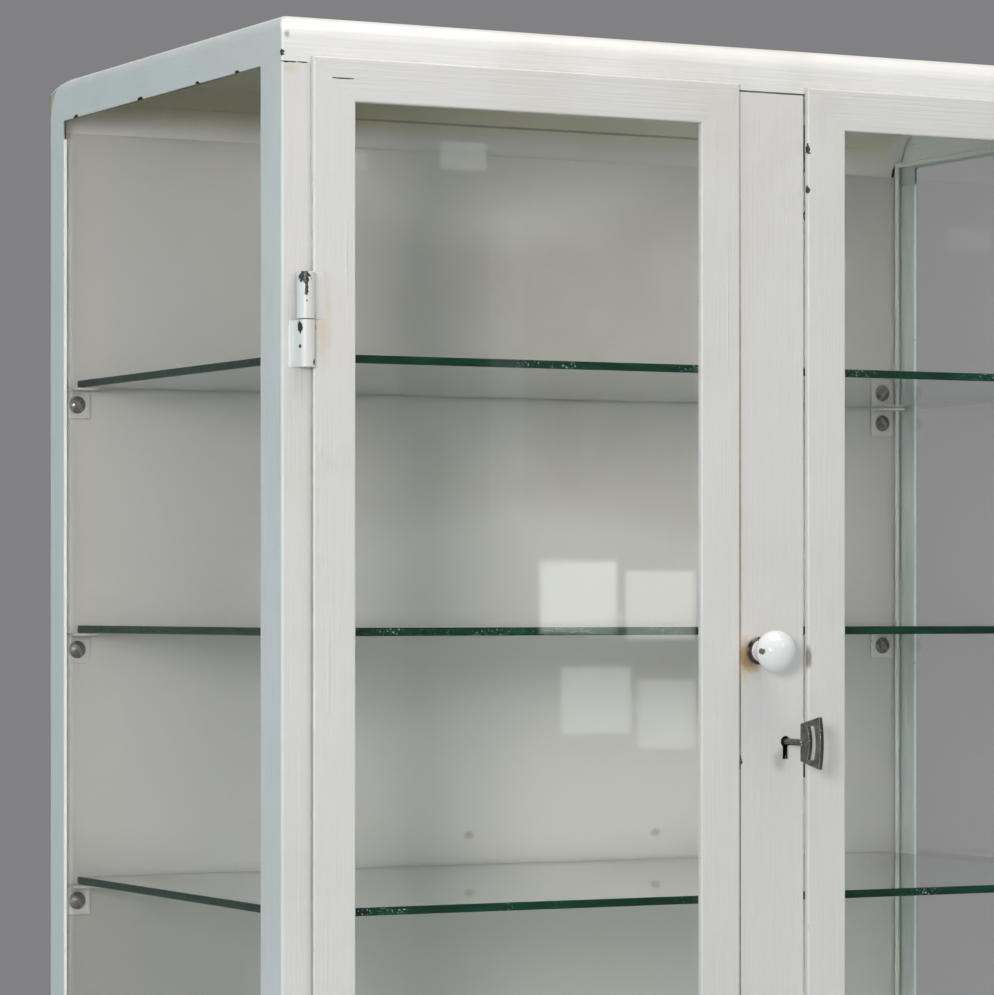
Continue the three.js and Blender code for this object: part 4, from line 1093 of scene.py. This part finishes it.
class CABINET_OT_stage(bpy.types.Operator):
    """Sets up the camera, the lights and the floor"""

    bl_idname = "cabinet.set_stage"
    bl_label = "Stage"

    def execute(self, context):
        scene, stage = context.scene, context.scene.cabinet_stage
        self.add_camera(scene, stage)
        self.add_world(scene, stage)
        for name, place, width in LAMPS:
            power, tint = getattr(stage, f"{name}_power"), getattr(stage, name)
            self.add_lamp(scene, f"{name}_light", Vector(place), width, power, tint)
        self.add_panels(scene, stage)
        self.add_floor(scene, stage)
        scene.view_settings.view_transform = "Standard"
        return {"FINISHED"}

    def add_camera(self, scene, stage):
        """The photo's place and angle, level, with the picture shifted up."""
        camera = bpy.data.cameras.new("photo_camera")
        camera.sensor_width = 36
        camera.lens = stage.lens
        camera.shift_y = stage.rise
        holder = bpy.data.objects.new("photo_camera", camera)
        holder.location = stage.camera
        holder.rotation_euler = (math.pi / 2, 0, -stage.yaw)
        scene.collection.objects.link(holder)
        scene.camera = holder

    def add_world(self, scene, stage):
        """A plain backdrop to the eye and in the glass, and cool light on everything else."""
        world = bpy.data.worlds.new("studio")
        world.use_nodes = True
        world.node_tree.nodes.clear()
        graph = Graph(world.node_tree)
        path = graph.node("ShaderNodeLightPath").outputs
        direct = graph.math("LESS_THAN", path["Diffuse Depth"], 0.5)
        tone = opaque(stage.ambient)
        for ray, seen in (("Is Glossy Ray", stage.mirrored), ("Is Transmission Ray", stage.through_glass)):
            tone = graph.mix(graph.math("MULTIPLY", path[ray], direct), tone, opaque(seen))
        tone = graph.mix(path["Is Camera Ray"], tone, opaque(stage.background))
        shade = graph.node("ShaderNodeBackground", {"Color": tone})
        graph.node("ShaderNodeOutputWorld", {"Surface": shade.outputs["Background"]})
        scene.world = world

    def add_lamp(self, scene, name, place, width, power, tint):
        """A soft square light that faces the cabinet."""
        light = bpy.data.lights.new(name, "AREA")
        light.size = width
        light.energy = power
        light.color = tint[:3]
        holder = bpy.data.objects.new(name, light)
        holder.location = place
        holder.rotation_euler = (LAMP_TARGET - place).to_track_quat("-Z", "Y").to_euler()
        scene.collection.objects.link(holder)

    def add_mesh(self, scene, name, mesh, material):
        """Shows a mesh that belongs to the stage and not to the cabinet."""
        data = bpy.data.meshes.new(name)
        mesh.to_mesh(data)
        mesh.free()
        data.materials.append(material)
        shown = bpy.data.objects.new(name, data)
        scene.collection.objects.link(shown)

    def add_panels(self, scene, stage):
        """Soft-edged light panels that the left door's pane mirrors to the camera."""
        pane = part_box("left_door_glass")[0][1]
        eye = Vector(stage.camera)
        mirrored = Vector((eye.x, 2 * pane - eye.y, eye.z))
        for number, panel in enumerate(PANELS, 1):
            seen_at = Vector(((panel.left + panel.right) / 2 * MM, pane, (panel.low + panel.high) / 2 * MM))
            place = mirrored + (seen_at - mirrored) * PANEL_STRETCH
            size = Vector((panel.right - panel.left, panel.high - panel.low, 1)) * MM * PANEL_STRETCH
            mesh = bmesh.new()
            mesh.loops.layers.uv.new("UVMap")
            bmesh.ops.create_grid(mesh, x_segments=1, y_segments=1, size=0.5, calc_uvs=True)
            bmesh.ops.scale(mesh, verts=mesh.verts, vec=size)
            bmesh.ops.rotate(mesh, verts=mesh.verts, matrix=Matrix.Rotation(math.pi / 2, 3, "X"))
            bmesh.ops.translate(mesh, verts=mesh.verts, vec=place)
            glow = self.panel_glow(f"panel_glow_{number}", stage.panel_glow * panel.glow)
            self.add_mesh(scene, f"panel_{number}", mesh, glow)

    def panel_glow(self, name, strength):
        """A glow that fades to its border and only shows in reflections."""
        material, graph, surface, output = new_material(name)
        spread = graph.node("ShaderNodeTexCoord").outputs["UV"]
        across = graph.node("ShaderNodeSeparateXYZ", {0: spread}).outputs
        fade = 1.0
        for axis in ("X", "Y"):
            off_centre = graph.math("ABSOLUTE", graph.math("SUBTRACT", across[axis], 0.5))
            inward = graph.math("SUBTRACT", 0.5, off_centre)
            fade = graph.math("MULTIPLY", fade, graph.fit(inward, 0.0, PANEL_BORDER))
        glow = graph.node("ShaderNodeEmission", {"Color": PANEL_COLOUR,
                                                 "Strength": graph.math("MULTIPLY", fade, strength)})
        clear = graph.node("ShaderNodeBsdfTransparent")
        mirror = graph.node("ShaderNodeLightPath").outputs["Is Glossy Ray"]
        both = graph.node("ShaderNodeMixShader", {0: graph.math("MULTIPLY", mirror, fade),
                                                  1: clear.outputs["BSDF"], 2: glow.outputs["Emission"]})
        graph.feed(output, {"Surface": both.outputs["Shader"]})
        graph.tree.nodes.remove(surface)
        return material

    def add_floor(self, scene, stage):
        """A pale matt floor."""
        mesh = bmesh.new()
        bmesh.ops.create_grid(mesh, x_segments=8, y_segments=8, size=FLOOR_HALF)
        material, graph, surface, _ = new_material("floor_matt")
        scuffs = graph.fit(graph.noise(graph.place(), 3.0, 4.0), 0.3, 0.7, 0.0, 0.06)
        graph.feed(surface, {"Base Color": graph.mix(scuffs, opaque(stage.floor), FLOOR_SCUFFS),
                             "Roughness": 0.8})
        self.add_mesh(scene, "floor", mesh, material)


class CABINET_PT_panel(bpy.types.Panel):
    """Lists the cabinet's settings and what builds it"""

    bl_idname = "CABINET_PT_panel"
    bl_label = "Medical Cabinet"
    bl_space_type = "VIEW_3D"
    bl_region_type = "UI"
    bl_category = "Cabinet"

    def draw(self, context):
        layout = self.layout
        layout.use_property_split = True
        for setting in SETTINGS:
            group = getattr(context.scene, setting)
            column = layout.column(align=True)
            for name in group.__annotations__:
                column.prop(group, name)
        for operator in STEPS:
            layout.operator(operator.bl_idname)


STEPS = (CABINET_OT_case, CABINET_OT_side_windows, CABINET_OT_shelves, CABINET_OT_brackets,
         CABINET_OT_doors, CABINET_OT_hinges, CABINET_OT_lock, CABINET_OT_stage)
SETTINGS = {"cabinet_finish": CabinetFinish, "cabinet_shape": CabinetShape, "cabinet_stage": CabinetStage}


def register():
    """Adds the settings, operators and panel to Blender."""
    for group in (*SETTINGS.values(), *STEPS, CABINET_PT_panel):
        bpy.utils.register_class(group)
    for name, group in SETTINGS.items():
        setattr(bpy.types.Scene, name, PointerProperty(type=group))


def unregister():
    """Takes them out again."""
    for name in SETTINGS:
        delattr(bpy.types.Scene, name)
    for group in reversed((*SETTINGS.values(), *STEPS, CABINET_PT_panel)):
        bpy.utils.unregister_class(group)


def main():
    """Builds every piece and the stage."""
    register()
    bpy.ops.cabinet.build_case()
    bpy.ops.cabinet.build_side_windows()
    bpy.ops.cabinet.build_shelves()
    bpy.ops.cabinet.build_brackets()
    bpy.ops.cabinet.build_doors()
    bpy.ops.cabinet.build_hinges()
    bpy.ops.cabinet.build_lock()
    bpy.ops.cabinet.set_stage()


if __name__ == "__main__":
    main()
